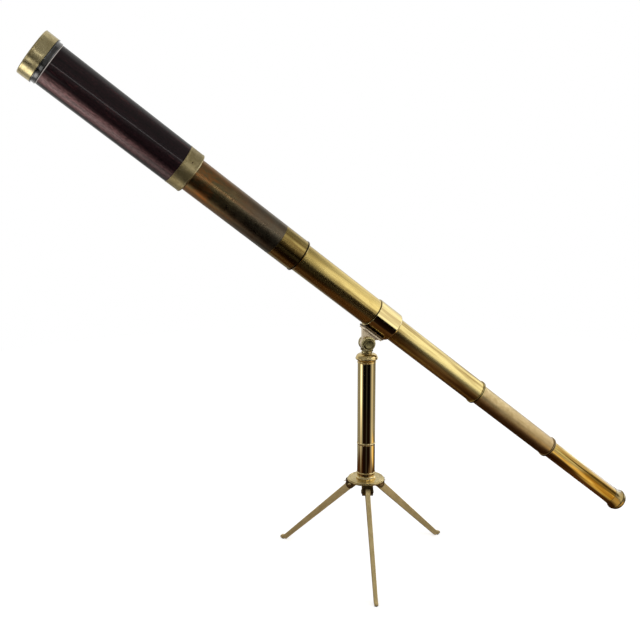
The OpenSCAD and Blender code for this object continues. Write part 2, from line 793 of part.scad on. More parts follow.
module draw_5_stop() {
  color(satin_brass) on_tube()
    stop_ring(draw_5_r, draw_5_bore, draw_4_bore - 2 * slide, draw_5_front);
}

// Optics inside draw 5
module erector_tube() {
  shoulder = 2.5;
  color(aged_brass) on_tube() turned([
    [inner_bore, erector_start], [inner_r, erector_start], [inner_r, erector_end], [inner_bore, erector_end],
    [inner_bore, erector_end - small_edge - seat], [inner_bore - 1.4, erector_end - small_edge - seat],
    [inner_bore - 1.4, erector_end - small_edge - shoulder], [inner_bore, erector_end - small_edge - shoulder],
    [inner_bore, erector_start + small_edge + shoulder], [inner_bore - 1.4, erector_start + small_edge + shoulder],
    [inner_bore - 1.4, erector_start + small_edge + seat], [inner_bore, erector_start + small_edge + seat]
  ]);
}

module erector_front_lens() {
  color(glass_tint) on_tube()
    lens(inner_lens_r, erector_start, small_bulge, erector_start + small_edge, 0);
}

module erector_rear_lens() {
  color(glass_tint) on_tube()
    lens(inner_lens_r, erector_end - small_edge, 0, erector_end, small_bulge);
}

module eyepiece_tube() {
  color(aged_brass) on_tube() turned([
    [inner_bore, eyepiece_start], [inner_r, eyepiece_start], [inner_r, bell_start - bell_spigot],
    [inner_bore, bell_start - bell_spigot], [inner_bore, eyepiece_start + small_edge + 2.5],
    [inner_bore - 1.4, eyepiece_start + small_edge + 2.5],
    [inner_bore - 1.4, eyepiece_start + small_edge + seat], [inner_bore, eyepiece_start + small_edge + seat]
  ]);
}

module field_lens() {
  color(glass_tint) on_tube()
    lens(inner_lens_r, eyepiece_start, small_bulge, eyepiece_start + small_edge, 0);
}

module eyepiece_bell() {
  flange_z = bell_start + 0.62 * bell_len;
  flare_start = bell_start + 2;
  flare_r = draw_5_r + 0.35;
  flare_rise = bell_r - 0.2 - flare_r;
  flare = [for (i = [0 : 8]) let (t = i / 8)
    [flare_r + flare_rise * (1 - cos(90 * t)), flare_start + (flange_z - flare_start) * sin(90 * t)]];
  dome_r = bell_end - flange_z - 2.6;
  color(bright_brass) on_tube() difference() {
    turned(concat(
      [[0, bell_start - bell_spigot], [inner_r, bell_start - bell_spigot], [inner_r, bell_start]],
      [[flare_r, bell_start]],
      flare,
      [[bell_r, flange_z + 0.4], [bell_r, flange_z + 1.8], [bell_r - 0.6, flange_z + 2.6]],
      arc(bell_r - 0.6 - dome_r, flange_z + 2.6, dome_r, 8, 90, 8),
      [[eye_hole_d / 2 + 2.4, bell_end], [eye_hole_d / 2, bell_end - 1.2], [0, bell_end - 1.2]]
    ));
    translate([0, 0, bell_start - bell_spigot - 1]) cylinder(r = inner_bore, h = bell_spigot + 3);
    translate([0, 0, bell_start]) cylinder(r = eye_lens_r + seat, h = bell_len - eye_plate - 1.2);
    translate([0, 0, bell_start]) cylinder(r = eye_hole_d / 2, h = bell_len + 1);
  }
}

module eye_lens() {
  rear = bell_end - eye_plate - 1.2 - seat;
  color(glass_tint) on_tube() lens(eye_lens_r, rear - 3, small_bulge, rear, 0);
}

pillar_cap();
pillar_upper_tube();
pillar_joint_ring();
pillar_lower_tube();
pillar_foot();
pillar_screw();
tripod_disc();
leg_fork_right();
leg_fork_left();
leg_fork_front();
leg_pins();
leg_right();
leg_left();
leg_front();
foot_stud_right();
foot_stud_left();
foot_stud_front();
swivel_washer();
swivel_nut();
knuckle_fork();
pivot_screw();
pivot_nut();
tilt_tongue();
mount_collar();
collar_screws();
barrel_wood();
barrel_tube();
barrel_front_ring();
barrel_collar();
barrel_guide();
barrel_pins();
objective_rim();
objective_cell();
crown_lens();
flint_lens();
lens_ring();
draw_1_tube();
draw_1_ferrule();
draw_1_stop();
draw_2_tube();
draw_2_guide();
draw_2_stop();
draw_3_tube();
draw_3_ferrule();
draw_3_stop();
draw_4_tube();
draw_4_ferrule();
draw_4_stop();
draw_5_tube();
draw_5_stop();
erector_tube();
erector_front_lens();
erector_rear_lens();
eyepiece_bell();
eyepiece_tube();
field_lens();
eye_lens();
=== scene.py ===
"""Looks of a brass draw telescope with a rosewood barrel, on a pillar with three folding legs.

Lengths in the profiles are in millimetres and become metres when a piece is made.
"""

import json
import math

import bmesh
import bpy
import numpy as np
from mathutils import Matrix, Vector


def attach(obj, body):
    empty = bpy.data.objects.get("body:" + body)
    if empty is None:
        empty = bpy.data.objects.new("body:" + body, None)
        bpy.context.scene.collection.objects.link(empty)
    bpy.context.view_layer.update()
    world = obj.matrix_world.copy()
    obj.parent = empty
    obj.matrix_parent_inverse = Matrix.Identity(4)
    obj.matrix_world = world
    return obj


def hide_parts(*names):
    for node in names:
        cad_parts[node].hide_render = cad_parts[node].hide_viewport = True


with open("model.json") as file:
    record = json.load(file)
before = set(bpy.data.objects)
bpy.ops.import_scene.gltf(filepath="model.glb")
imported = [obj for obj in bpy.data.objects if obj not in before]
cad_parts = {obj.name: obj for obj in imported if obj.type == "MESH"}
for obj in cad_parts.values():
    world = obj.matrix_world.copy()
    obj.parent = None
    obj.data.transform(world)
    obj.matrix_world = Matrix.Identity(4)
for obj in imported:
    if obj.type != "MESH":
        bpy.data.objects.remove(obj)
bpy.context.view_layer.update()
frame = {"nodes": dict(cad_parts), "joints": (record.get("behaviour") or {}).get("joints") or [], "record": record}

MM = 0.001
ROUND = 144
# Clearances of a fixed seat and of a sliding fit
SEAT = 0.04
SLIDE = 0.1
# Wall of the draws, width of the lips at their ends, and length of the guides behind these
DRAW_WALL = 0.8
LIP = 4.0
GUIDE = 25.0
# Thickness of the collar's flange and of the tongue's head plate, which meet
FLANGE = 2.4
# Length of the plugs that hold the pillar's tubes
PLUG = 12
# Radii of the pivot screw, of the leg pins, and of the screw and stem on the pillar's axis
PIVOT_R, PIN_R, STEM_R = 3.0, 2.0, 4.0

joints = {joint["name"]: joint for joint in frame["joints"]}
mounts = {mount["name"]: mount for mount in frame["record"]["mounts"]}


def put(name, data):
    """Makes an object and puts it in the scene."""
    made = bpy.data.objects.new(name, data)
    bpy.context.scene.collection.objects.link(made)
    return made


# Camera

def place_camera():
    lens = bpy.data.cameras.new("camera")
    lens.sensor_width = 36.0
    lens.lens = 47.80
    lens.clip_start = 0.05
    camera = put("camera", lens)
    right = Vector((0.95334, -0.30189, -0.00308))
    up = Vector((0.06129, 0.18355, 0.98110))
    turn = Matrix((right, up, right.cross(up))).transposed().to_4x4()
    camera.matrix_world = Matrix.Translation((-0.41732, -1.10060, 0.59199)) @ turn
    bpy.context.scene.camera = camera


place_camera()


# Working frames: the pillar's, the tube's, the pivot's and one for each leg

def axes_frame(x, y, z, origin):
    return Matrix.Translation(origin) @ Matrix((x, y, z)).transposed().to_4x4()


def tube_frame():
    """Z runs along the tube to the eyepiece, X points to the tilt pivot, and zero is over the pivot."""
    along = Vector(joints["first_draw_slide"]["axis"]).normalized()
    pivot = Vector(joints["tube_tilt"]["pos_m"])
    on_axis = Vector(mounts["cap_seat"]["pos_m"])
    origin = on_axis + along * along.dot(pivot - on_axis)
    down = (pivot - origin).normalized()
    return axes_frame(down, along.cross(down), along, origin)


def leg_frame(side):
    """X points outwards, Z up, and zero is on the hinge pin."""
    joint = joints[side + "_leg_fold"]
    across = Vector(joint["axis"]).normalized()
    return axes_frame(across.cross(Vector((0, 0, 1))), across, Vector((0, 0, 1)), Vector(joint["pos_m"]))


PILLAR = Matrix.Identity(4)
TUBE = tube_frame()
PIVOT = Matrix.Translation(Vector(joints["tube_tilt"]["pos_m"]))
LEGS = {side: leg_frame(side) for side in ("right", "left", "front")}
# Turns that stand a flat plate up, and that lay it along the tube with its face to the pivot
UPRIGHT = Matrix.Rotation(math.radians(90), 4, "X")
ACROSS = TUBE @ Matrix.Rotation(math.radians(90), 4, "Y")


def shift(x, y, z):
    """A move by millimetres."""
    return Matrix.Translation((x * MM, y * MM, z * MM))


class Reach:
    """How far a CAD node reaches in a working frame, in millimetres."""

    def __init__(self, node, place=TUBE):
        mesh = frame["nodes"][node].data
        flat = np.empty(len(mesh.vertices) * 3)
        mesh.vertices.foreach_get("co", flat)
        inverse = np.array(place.inverted())
        local = (flat.reshape(-1, 3) @ inverse[:3, :3].T + inverse[:3, 3]) / MM
        radius = np.hypot(local[:, 0], local[:, 1])
        self.low, self.high = local.min(0), local.max(0)
        self.front, self.rear = self.low[2], self.high[2]
        self.bore, self.r = radius.min(), radius.max()

    def sleeve(self, *edge):
        """The outline of a plain tube, whose outer corners may be rounded."""
        front, rear = self.front, self.rear
        return [(self.bore, front), (self.r, front, *edge), (self.r, rear, *edge), (self.bore, rear)]


# Shapes

def corner_arc(before, corner, after, radius, steps):
    """The arc that rounds a corner, or the corner itself where it is too flat or too sharp."""
    a, b = np.subtract(before, corner), np.subtract(after, corner)
    la, lb = np.linalg.norm(a), np.linalg.norm(b)
    a, b = a / la, b / lb
    half = math.acos(max(-1.0, min(1.0, float(a @ b)))) / 2
    if half < 0.05 or half > 1.52:
        return [tuple(corner)]
    reach = min(radius / math.tan(half), 0.45 * la, 0.45 * lb)
    radius = reach * math.tan(half)
    middle = (a + b) / np.linalg.norm(a + b)
    centre = np.asarray(corner) + middle * radius / math.sin(half)
    start = np.asarray(corner) + a * reach - centre
    end = np.asarray(corner) + b * reach - centre
    first = math.degrees(math.atan2(start[1], start[0]))
    turned = math.degrees(math.atan2(start[0] * end[1] - start[1] * end[0], float(start @ end)))
    return arc(*centre, radius, first, first + turned, steps)


def rounded(points, steps=3):
    """A closed outline whose corners with a third number are rounded to that radius."""
    made = []
    for index, point in enumerate(points):
        if len(point) == 3:
            before, after = points[index - 1][:2], points[(index + 1) % len(points)][:2]
            made += corner_arc(before, point[:2], after, point[2], steps)
        else:
            made.append(tuple(point))
    return made


def shares(steps):
    return [step / steps for step in range(steps + 1)]


def arc(cx, cy, radius, start, end, steps):
    angles = [math.radians(start + (end - start) * share) for share in shares(steps)]
    return [(cx + radius * math.cos(a), cy + radius * math.sin(a)) for a in angles]


def circle(cx, cy, radius, steps=48):
    return arc(cx, cy, radius, 0, 360, steps)[:-1]


def finish_mesh(name, mesh, place):
    """Puts a mesh, in millimetres in its working frame, in place and makes it an object."""
    shape = bmesh.new()
    shape.from_mesh(mesh)
    bmesh.ops.remove_doubles(shape, verts=shape.verts, dist=1e-4)
    bmesh.ops.recalc_face_normals(shape, faces=shape.faces)
    shape.to_mesh(mesh)
    shape.free()
    mesh.transform(place @ Matrix.Scale(MM, 4))
    mesh.shade_smooth()
    mesh.set_sharp_from_angle(angle=math.radians(50))
    piece = put(name, mesh)
    even = piece.modifiers.new("even_shading", "WEIGHTED_NORMAL")
    even.weight = 100
    even.keep_sharp = True
    return piece


def ring_faces(low, high, steps):
    """The faces between two rings of points, given the number of each ring's first point."""
    return [(low + s, low + (s + 1) % steps, high + (s + 1) % steps, high + s) for s in range(steps)]


def lathe(name, loop, place, material, lining=None, steps=ROUND):
    """Turns a closed outline of (radius, station) round Z. Faces that look at the axis take the lining."""
    loop = [(max(r, 0.0), z) for r, z in loop]
    count = len(loop)
    points = [(x, y, z) for r, z in loop for x, y in circle(0, 0, r, steps)]
    faces, slots = [], []
    area = sum(loop[i - 1][0] * loop[i][1] - loop[i][0] * loop[i - 1][1] for i in range(count))
    for i in range(count):
        j = (i + 1) % count
        if loop[i][0] < 1e-6 and loop[j][0] < 1e-6:
            continue
        inward = (loop[j][1] - loop[i][1]) * math.copysign(1, area) < -1e-6
        faces += ring_faces(i * steps, j * steps, steps)
        slots += [1 if inward and lining else 0] * steps
    mesh = bpy.data.meshes.new(name)
    mesh.from_pydata(points, [], faces)
    mesh.materials.append(material)
    if lining:
        mesh.materials.append(lining)
    mesh.polygons.foreach_set("material_index", slots)
    return finish_mesh(name, mesh, place)


def take_mesh(name, helper):
    """Keeps what a helper object makes as a plain mesh, and removes the helper."""
    graph = bpy.context.evaluated_depsgraph_get()
    mesh = bpy.data.meshes.new_from_object(helper.evaluated_get(graph))
    helper.modifiers.clear()
    bpy.data.objects.remove(helper)
    mesh.name = name
    return mesh


def plate(name, outlines, thickness, place, material, edge, shape=None):
    """A flat piece with rounded edges: outlines in X and Y, the first outer and the rest holes."""
    curve = bpy.data.curves.new(name, "CURVE")
    curve.dimensions = "2D"
    curve.fill_mode = "BOTH"
    curve.extrude = thickness / 2 - edge
    curve.bevel_depth = edge
    curve.bevel_resolution = 2
    curve.offset = -edge
    for outline in outlines:
        spline = curve.splines.new("POLY")
        spline.points.add(len(outline) - 1)
        spline.points.foreach_set("co", [value for x, y in outline for value in (x, y, 0.0, 1.0)])
        spline.use_cyclic_u = True
    mesh = take_mesh(name, put(name, curve))
    bpy.data.curves.remove(curve)
    mesh.materials.clear()
    mesh.materials.append(material)
    if shape:
        for vertex in mesh.vertices:
            vertex.co = shape(vertex.co)
    return finish_mesh(name, mesh, place)


def block(x0, y0, x1, y1, corner):
    return rounded([(x0, y0, corner), (x1, y0, corner), (x1, y1, corner), (x0, y1, corner)])


# Node trees

class Bench:
    """Adds the nodes of one tree and joins them."""

    def __init__(self, tree):
        self.tree = tree

    def add(self, kind, inputs=None, **settings):
        node = self.tree.nodes.new(kind)
        for name, value in settings.items():
            setattr(node, name, value)
        for key, value in (inputs or {}).items():
            if isinstance(value, bpy.types.NodeSocket):
                self.link(value, node.inputs[key])
            else:
                node.inputs[key].default_value = value
        return node

    def take(self, kind, inputs=None, **settings):
        """Adds a node and gives its first output."""
        return self.add(kind, inputs, **settings).outputs[0]

    def link(self, value, socket):
        self.tree.links.new(value, socket)

    def group(self, tree, **inputs):
        return self.add("ShaderNodeGroup", inputs, node_tree=tree).outputs

    def math(self, operation, a, b=0.0):
        return self.take("ShaderNodeMath", {0: a, 1: b}, operation=operation)

    def times(self, a, b):
        return self.math("MULTIPLY", a, b)

    def plus(self, a, b):
        return self.math("ADD", a, b)

    def minus(self, a, b):
        return self.math("SUBTRACT", a, b)

    def squares(self, a, b):
        return self.plus(self.math("POWER", a, 2.0), self.math("POWER", b, 2.0))

    def mean(self, a, share, b):
        return self.plus(self.times(a, share), self.times(b, 1.0 - share))

    def vector(self, **parts):
        return self.take("ShaderNodeCombineXYZ", parts)

    def parts(self, vector):
        return self.add("ShaderNodeSeparateXYZ", {0: vector}).outputs

    def scaled(self, vector, factors):
        return self.take("ShaderNodeVectorMath", {0: vector, 1: factors}, operation="MULTIPLY")

    def shifted(self, vector, shift):
        return self.take("ShaderNodeVectorMath", {0: vector, 1: shift}, operation="ADD")

    def moved(self, geometry, place):
        return self.take("GeometryNodeTransform", {"Geometry": geometry, "Translation": place})

    def band(self, value, low, high, to_low=0.0, to_high=1.0):
        """A soft step up from low to high, or down where low is the greater."""
        inputs = {"Value": value, "From Min": low, "From Max": high, "To Min": to_low, "To Max": to_high}
        return self.take("ShaderNodeMapRange", inputs, interpolation_type="SMOOTHSTEP")

    def span(self, value, rise, top, fall, end):
        return self.times(self.band(value, rise, top), self.band(value, end, fall))

    def blend(self, share, first, second):
        return self.add("ShaderNodeMix", {0: share, 6: first, 7: second}, data_type="RGBA").outputs[2]

    def patch(self, cloth, colour, *bounds):
        """Lays a colour on a cloth where all bounds are met: values with the edges of a step or a span."""
        share = 1.0
        for value, *edges in bounds:
            part = self.span(value, *edges) if len(edges) == 4 else self.band(value, *edges)
            share = self.times(share, part)
        return self.blend(share, cloth, (*colour, 1))

    def noise(self, vector, scale, detail=4.0, rough=0.55, twist=0.0):
        return self.take("ShaderNodeTexNoise", {
            "Vector": vector, "Scale": scale, "Detail": detail, "Roughness": rough, "Distortion": twist})

    def dress(self, shader, colour, gloss, height=None, depth=0.0, strength=1.0):
        """Gives a shader its colour and roughness, and a relief of some depth in millimetres."""
        self.link(colour, shader.inputs["Base Color"])
        self.link(gloss, shader.inputs["Roughness"])
        if height:
            relief = {"Strength": strength, "Distance": depth * MM, "Height": height}
            self.link(self.take("ShaderNodeBump", relief), shader.inputs["Normal"])


NUMBERS = {float: "Float", int: "Int"}


def new_tree(name, kind, inputs, outputs):
    """A tree whose inputs have a number or the name of their kind, and whose outputs have the latter."""
    tree = bpy.data.node_groups.new(name, kind)
    for label, value in inputs.items():
        socket = "NodeSocket" + NUMBERS.get(type(value), str(value))
        made = tree.interface.new_socket(label, in_out="INPUT", socket_type=socket)
        if type(value) in NUMBERS:
            made.default_value = value
    for label, socket in outputs.items():
        tree.interface.new_socket(label, in_out="OUTPUT", socket_type="NodeSocket" + socket)
    bench = Bench(tree)
    return bench, bench.add("NodeGroupInput").outputs, bench.add("NodeGroupOutput").inputs


# Geometry trees

def new_shape(name, inputs):
    return new_tree(name, "GeometryNodeTree", {**inputs, "Material": "Material"}, {"Shape": "Geometry"})


def finish_tree(bench, geometry, given, out):
    real = bench.take("GeometryNodeRealizeInstances", {"Geometry": geometry})
    dressed = bench.take("GeometryNodeSetMaterial", {"Geometry": real, "Material": given["Material"]})
    bench.link(dressed, out["Shape"])
    return bench.tree


def drawn_tube_tree():
    inputs = {"Radius": 20.0, "Wall": 0.8, "Front": 0.0, "Rear": 100.0, "Edge": 0.25, "Steps": ROUND}
    bench, given, out = new_shape("drawn_tube", inputs)
    middle = bench.minus(given["Radius"], bench.times(given["Wall"], 0.5))
    path = bench.take("GeometryNodeCurvePrimitiveCircle", {"Resolution": given["Steps"], "Radius": middle})
    sides = {"Width": given["Wall"], "Height": bench.minus(given["Rear"], given["Front"])}
    section = bench.take("GeometryNodeCurvePrimitiveQuadrilateral", sides)
    edge = {"Curve": section, "Count": 3, "Radius": given["Edge"], "Limit Radius": True}
    soft = bench.take("GeometryNodeFilletCurve", edge, mode="POLY")
    wall = bench.take("GeometryNodeCurveToMesh", {"Curve": path, "Profile Curve": soft})
    centre = bench.times(bench.plus(given["Rear"], given["Front"]), 0.5)
    return finish_tree(bench, bench.moved(wall, bench.vector(Z=centre)), given, out)


def domed_head(bench, radius, height, dome):
    """A short cylinder round Z whose top is crowned, standing on z = 0."""
    sizes = {"Vertices": 32, "Side Segments": 1, "Fill Segments": 5, "Radius": radius, "Depth": height}
    body = bench.take("GeometryNodeMeshCylinder", sizes)
    stood = bench.moved(body, bench.vector(Z=bench.times(height, 0.5)))
    where = bench.parts(bench.take("GeometryNodeInputPosition"))
    share = bench.math("DIVIDE", bench.squares(where["X"], where["Y"]), bench.math("POWER", radius, 2.0))
    drop = bench.times(bench.math("POWER", share, 1.6), bench.times(dome, -1.0))
    on_top = bench.math("GREATER_THAN", where["Z"], bench.times(height, 0.9))
    crown = {"Geometry": stood, "Selection": on_top, "Offset": bench.vector(Z=drop)}
    return bench.take("GeometryNodeSetPosition", crown)


def screw_grid_tree():
    inputs = {"Along": 3, "Across": 2, "Pitch Along": 11.0, "Pitch Across": 20.8, "Head Radius": 2.1,
              "Head Height": 1.0, "Slot Width": 0.5, "Seed": 4}
    bench, given, out = new_shape("slotted_screws", inputs)
    height = given["Head Height"]
    head = domed_head(bench, given["Head Radius"], height, bench.times(height, 0.45))
    size = bench.vector(X=bench.times(given["Head Radius"], 3.0), Y=given["Slot Width"], Z=height)
    cutter = bench.take("GeometryNodeMeshCube", {"Size": size})
    set_up = bench.moved(cutter, bench.vector(Z=bench.times(height, 1.08)))
    slotted = bench.take("GeometryNodeMeshBoolean", {"Mesh 1": head, "Mesh 2": set_up},
                         operation="DIFFERENCE", solver="EXACT")
    grid = bench.take("GeometryNodeMeshGrid", {
        "Size X": bench.times(given["Pitch Along"], bench.minus(given["Along"], 1.0)),
        "Size Y": bench.times(given["Pitch Across"], bench.minus(given["Across"], 1.0)),
        "Vertices X": given["Along"], "Vertices Y": given["Across"]})
    limits = {"Min": (0.0, 0.0, -1.5), "Max": (0.0, 0.0, 1.5), "Seed": given["Seed"]}
    turned = bench.take("FunctionNodeRandomValue", limits, data_type="FLOAT_VECTOR")
    placing = {"Points": grid, "Instance": slotted, "Rotation": turned}
    return finish_tree(bench, bench.take("GeometryNodeInstanceOnPoints", placing), given, out)


def pin_ring_tree():
    inputs = {"Count": 3, "Ring Radius": 20.0, "First Angle": 0.0, "Pin Radius": 2.0, "Pin Length": 10.0,
              "Crown": 0.3, "Lean": "Vector"}
    bench, given, out = new_shape("pins_on_a_ring", inputs)
    pin = domed_head(bench, given["Pin Radius"], given["Pin Length"], given["Crown"])
    leaned = bench.take("GeometryNodeTransform", {"Geometry": pin, "Rotation": given["Lean"]})
    stood_out = bench.moved(leaned, bench.vector(X=given["Ring Radius"]))
    points = bench.take("GeometryNodeMeshLine", {"Count": given["Count"], "Offset": (0.0, 0.0, 0.0)})
    step = bench.math("DIVIDE", math.tau, given["Count"])
    angle = bench.plus(given["First Angle"], bench.times(bench.take("GeometryNodeInputIndex"), step))
    ring = bench.take("GeometryNodeInstanceOnPoints", {"Points": points, "Instance": stood_out,
                                                       "Rotation": bench.vector(Z=angle)})
    return finish_tree(bench, ring, given, out)


DRAWN_TUBE, SCREW_GRID, PIN_RING = drawn_tube_tree(), screw_grid_tree(), pin_ring_tree()


def grown(name, tree, sizes, place):
    """Runs a geometry tree and keeps its result as a plain mesh in place."""
    helper = put(name, bpy.data.meshes.new(name + "_seed"))
    grow = helper.modifiers.new("grow", "NODES")
    grow.node_group = tree
    sockets = {item.name: item.identifier for item in tree.interface.items_tree if item.in_out == "INPUT"}
    for label, value in sizes.items():
        grow[sockets[label]] = value
    return finish_mesh(name, take_mesh(name, helper), place)


# Finishes

def new_group(name, inputs, outputs):
    return new_tree(name, "ShaderNodeTree", {"Vector": "Vector", **inputs}, outputs)


def tarnish_group():
    inputs = {"Clean": "Color", "Dull": "Color", "Deep": "Color", "Cover": 0.5, "Size": 40.0}
    bench, given, out = new_group("tarnish", inputs, {"Color": "Color", "Mask": "Float"})
    broad = bench.noise(given["Vector"], given["Size"], 6.0, 0.62, 0.6)
    fine = bench.noise(given["Vector"], bench.times(given["Size"], 5.3), 5.0, 0.6)
    mixed = bench.mean(broad, 0.72, fine)
    edge = bench.minus(0.78, bench.times(given["Cover"], 0.56))
    dull = bench.band(mixed, bench.minus(edge, 0.13), bench.plus(edge, 0.13))
    deep = bench.band(mixed, bench.plus(edge, 0.10), bench.plus(edge, 0.34))
    first = bench.blend(dull, given["Clean"], given["Dull"])
    bench.link(bench.blend(deep, first, given["Deep"]), out["Color"])
    bench.link(bench.math("MAXIMUM", dull, deep), out["Mask"])
    return bench.tree


def lay_group():
    """Fine lines left by drawing or turning. Fine sets how close they lie along each axis."""
    bench, given, out = new_group("tool_lines", {"Fine": "Vector"}, {"Mask": "Float", "Height": "Float"})
    stretched = bench.scaled(given["Vector"], given["Fine"])
    close = bench.noise(stretched, 1.6, 4.0, 0.65)
    mask = bench.mean(bench.noise(stretched, 0.35, 3.0, 0.6), 0.6, close)
    bench.link(bench.band(mask, 0.36, 0.64), out["Mask"])
    bench.link(close, out["Height"])
    return bench.tree


def smudge_group():
    """Handling marks, which change the gloss more than the colour."""
    bench, given, out = new_group("handling_marks", {"Size": 60.0}, {"Mask": "Float"})
    cloud = bench.noise(given["Vector"], given["Size"], 3.0, 0.5, 1.2)
    specks = bench.noise(given["Vector"], bench.times(given["Size"], 9.0), 2.0, 0.5)
    bench.link(bench.band(bench.mean(cloud, 0.75, specks), 0.38, 0.66), out["Mask"])
    return bench.tree


def streak_group():
    """Broad streaks that run along a tube."""
    bench, given, out = new_group("long_streaks", {"Size": 62.0, "Shift": 0.0}, {"Mask": "Float"})
    shift = bench.vector(X=given["Shift"], Y=given["Shift"], Z=given["Shift"])
    placed = bench.shifted(bench.scaled(given["Vector"], (1.0, 1.0, 0.05)), shift)
    broad = bench.noise(placed, given["Size"], 3.0, 0.55, 0.3)
    narrow = bench.noise(placed, bench.times(given["Size"], 4.0), 3.0, 0.6)
    bench.link(bench.band(bench.mean(broad, 0.65, narrow), 0.42, 0.60), out["Mask"])
    return bench.tree


TARNISH, LAY, SMUDGE, STREAKS = tarnish_group(), lay_group(), smudge_group(), streak_group()


def fresh_bench(owner):
    """Clears the nodes of a material or world and gives a bench for new ones."""
    owner.use_nodes = True
    owner.node_tree.nodes.clear()
    return Bench(owner.node_tree)


def new_finish(name, place, constants):
    """A material with its shader and a vector in metres in the piece's own working frame."""
    material = bpy.data.materials.new(name)
    bench = fresh_bench(material)
    shader = bench.add("ShaderNodeBsdfPrincipled", constants)
    bench.add("ShaderNodeOutputMaterial", {"Surface": shader.outputs[0]})
    inverse = place.inverted()
    coords = bench.add("ShaderNodeTexCoord").outputs["Object"]
    inputs = {"Vector": coords, "Location": inverse.translation, "Rotation": inverse.to_3x3().to_euler()}
    return material, bench, shader, bench.take("ShaderNodeMapping", inputs)


# How fine the tool lines are along each axis, and how far patches are drawn out along them
ALONG_TUBE, ROUND_TUBE, ALL_WAYS = (900.0, 900.0, 9.0), (12.0, 12.0, 2600.0), (500.0, 500.0, 500.0)
EVEN = (1.0, 1.0, 1.0)


def brass(name, place, clean, dull, deep, cover, size, rough, lines=ALONG_TUBE, line_tint=0.2, bump=0.02,
          stretch=(1.0, 1.0, 0.25), metal=1.0, streaks=0.0, shift=0.0, shade_rings=(), drift=None):
    """Brass with tarnish patches, tool lines and handling marks. Rough gives the cleanest and dullest gloss.
    The stations of painted shade rings are given as (station, half width) in millimetres: a near-black ring is
    painted there as the shadow in a joint.
    Drift is the stations between which the tone changes, and the tone that it changes to."""
    material, bench, shader, vector = new_finish(name, place, {"Metallic": metal})
    patches = bench.group(TARNISH, Vector=bench.scaled(vector, stretch), Clean=(*clean, 1), Dull=(*dull, 1),
                          Deep=(*deep, 1), Cover=cover, Size=size)
    lay = bench.group(LAY, Vector=vector, Fine=lines)
    smudge = bench.group(SMUDGE, Vector=vector)
    colour = bench.blend(bench.times(lay["Mask"], line_tint), patches["Color"], (*dull, 1))
    if streaks:
        runs = bench.group(STREAKS, Vector=vector, Shift=shift)
        colour = bench.blend(bench.times(runs["Mask"], streaks), colour, (*deep, 1))
    along = bench.parts(vector)["Z"]
    if drift:
        start, end, tone = drift
        cloud = bench.plus(bench.times(bench.noise(vector, 60.0, 3.0), 0.5), 0.55)
        share = bench.times(bench.band(along, start * MM, end * MM), cloud)
        colour = bench.blend(share, colour, (*tone, 1))
    # Painted shade: near-black rings at these stations stand in for the shadow in the joints.
    for station, half in shade_rings:
        off = bench.math("ABSOLUTE", bench.minus(along, station * MM))
        painted_shade = bench.times(bench.band(off, half * MM, 0.4 * half * MM), 0.96)
        colour = bench.blend(painted_shade, colour, (0.008, 0.005, 0.003, 1))
    wear = bench.mean(patches["Mask"], 0.5, smudge["Mask"])
    bench.dress(shader, colour, bench.band(wear, 0.0, 1.0, *rough), lay["Height"], bump)
    return material


def rosewood():
    """Dark rosewood with a thin old polish. A pale pinkish band is painted on its lower left side as a reflection,
    stronger towards the front.
    """
    polish = {"Specular IOR Level": 0.1, "Coat Weight": 0.35, "Coat Roughness": 0.09}
    material, bench, shader, vector = new_finish("rosewood", TUBE, polish)
    bent = bench.noise(bench.scaled(vector, (30.0, 30.0, 5.0)), 1.0, 2.0)
    shifted = bench.shifted(bench.scaled(vector, (1.0, 1.0, 0.045)), bench.scaled(bent, (0.006, 0.004, 0.0)))
    grain = bench.noise(shifted, 300.0, 6.0, 0.70, 0.4)
    bands = bench.noise(shifted, 62.0, 3.0, 0.5, 0.8)
    pores = bench.noise(bench.scaled(vector, (1100.0, 1100.0, 130.0)), 1.0, 2.0, 0.5)
    speck = bench.noise(bench.scaled(vector, (800.0, 800.0, 240.0)), 1.0, 3.0, 0.6)
    tone = bench.plus(bench.times(grain, 0.40), bench.times(bands, 0.30))
    tone = bench.plus(tone, bench.times(speck, 0.30))
    ramp = bench.add("ShaderNodeValToRGB", {"Fac": tone})
    stops = ramp.color_ramp.elements
    stops[0].position, stops[0].color = 0.36, (0.0025, 0.0010, 0.0016, 1)
    stops[1].position, stops[1].color = 0.72, (0.110, 0.030, 0.028, 1)
    stops.new(0.54).color = (0.0125, 0.0036, 0.0050, 1)
    pore = bench.band(pores, 0.30, 0.42)
    where = bench.parts(vector)
    turned = bench.times(bench.math("ARCTAN2", where["Y"], where["X"]), math.degrees(1))
    # Painted reflection: a pale pinkish band on the lower left side, stronger towards the front
    reflection_falloff = bench.band(where["Z"], -0.50, -0.38, 1.0, 0.35)
    painted_reflection = bench.times(bench.span(turned, -66, -48, -34, -20), reflection_falloff)
    painted_reflection = bench.times(painted_reflection, bench.band(grain, 0.30, 0.60, 0.45, 1.0))
    painted_reflection = bench.times(painted_reflection, bench.band(speck, 0.40, 0.58, 0.50, 1.0))
    colour = bench.blend(pore, (0.002, 0.001, 0.001, 1), ramp.outputs[0])
    colour = bench.blend(painted_reflection, colour, (0.27, 0.135, 0.13, 1))
    # Painted highlight: a thin pale line along the wood's front edge
    edge = Reach("barrel_wood").front * MM
    painted_edge_highlight = bench.band(where["Z"], edge + 0.0012, edge + 0.0007)
    colour = bench.blend(painted_edge_highlight, colour, (0.62, 0.56, 0.52, 1))
    bench.dress(shader, colour, bench.band(grain, 0.3, 0.7, 0.42, 0.28), pore, 0.03, 0.5)
    return material


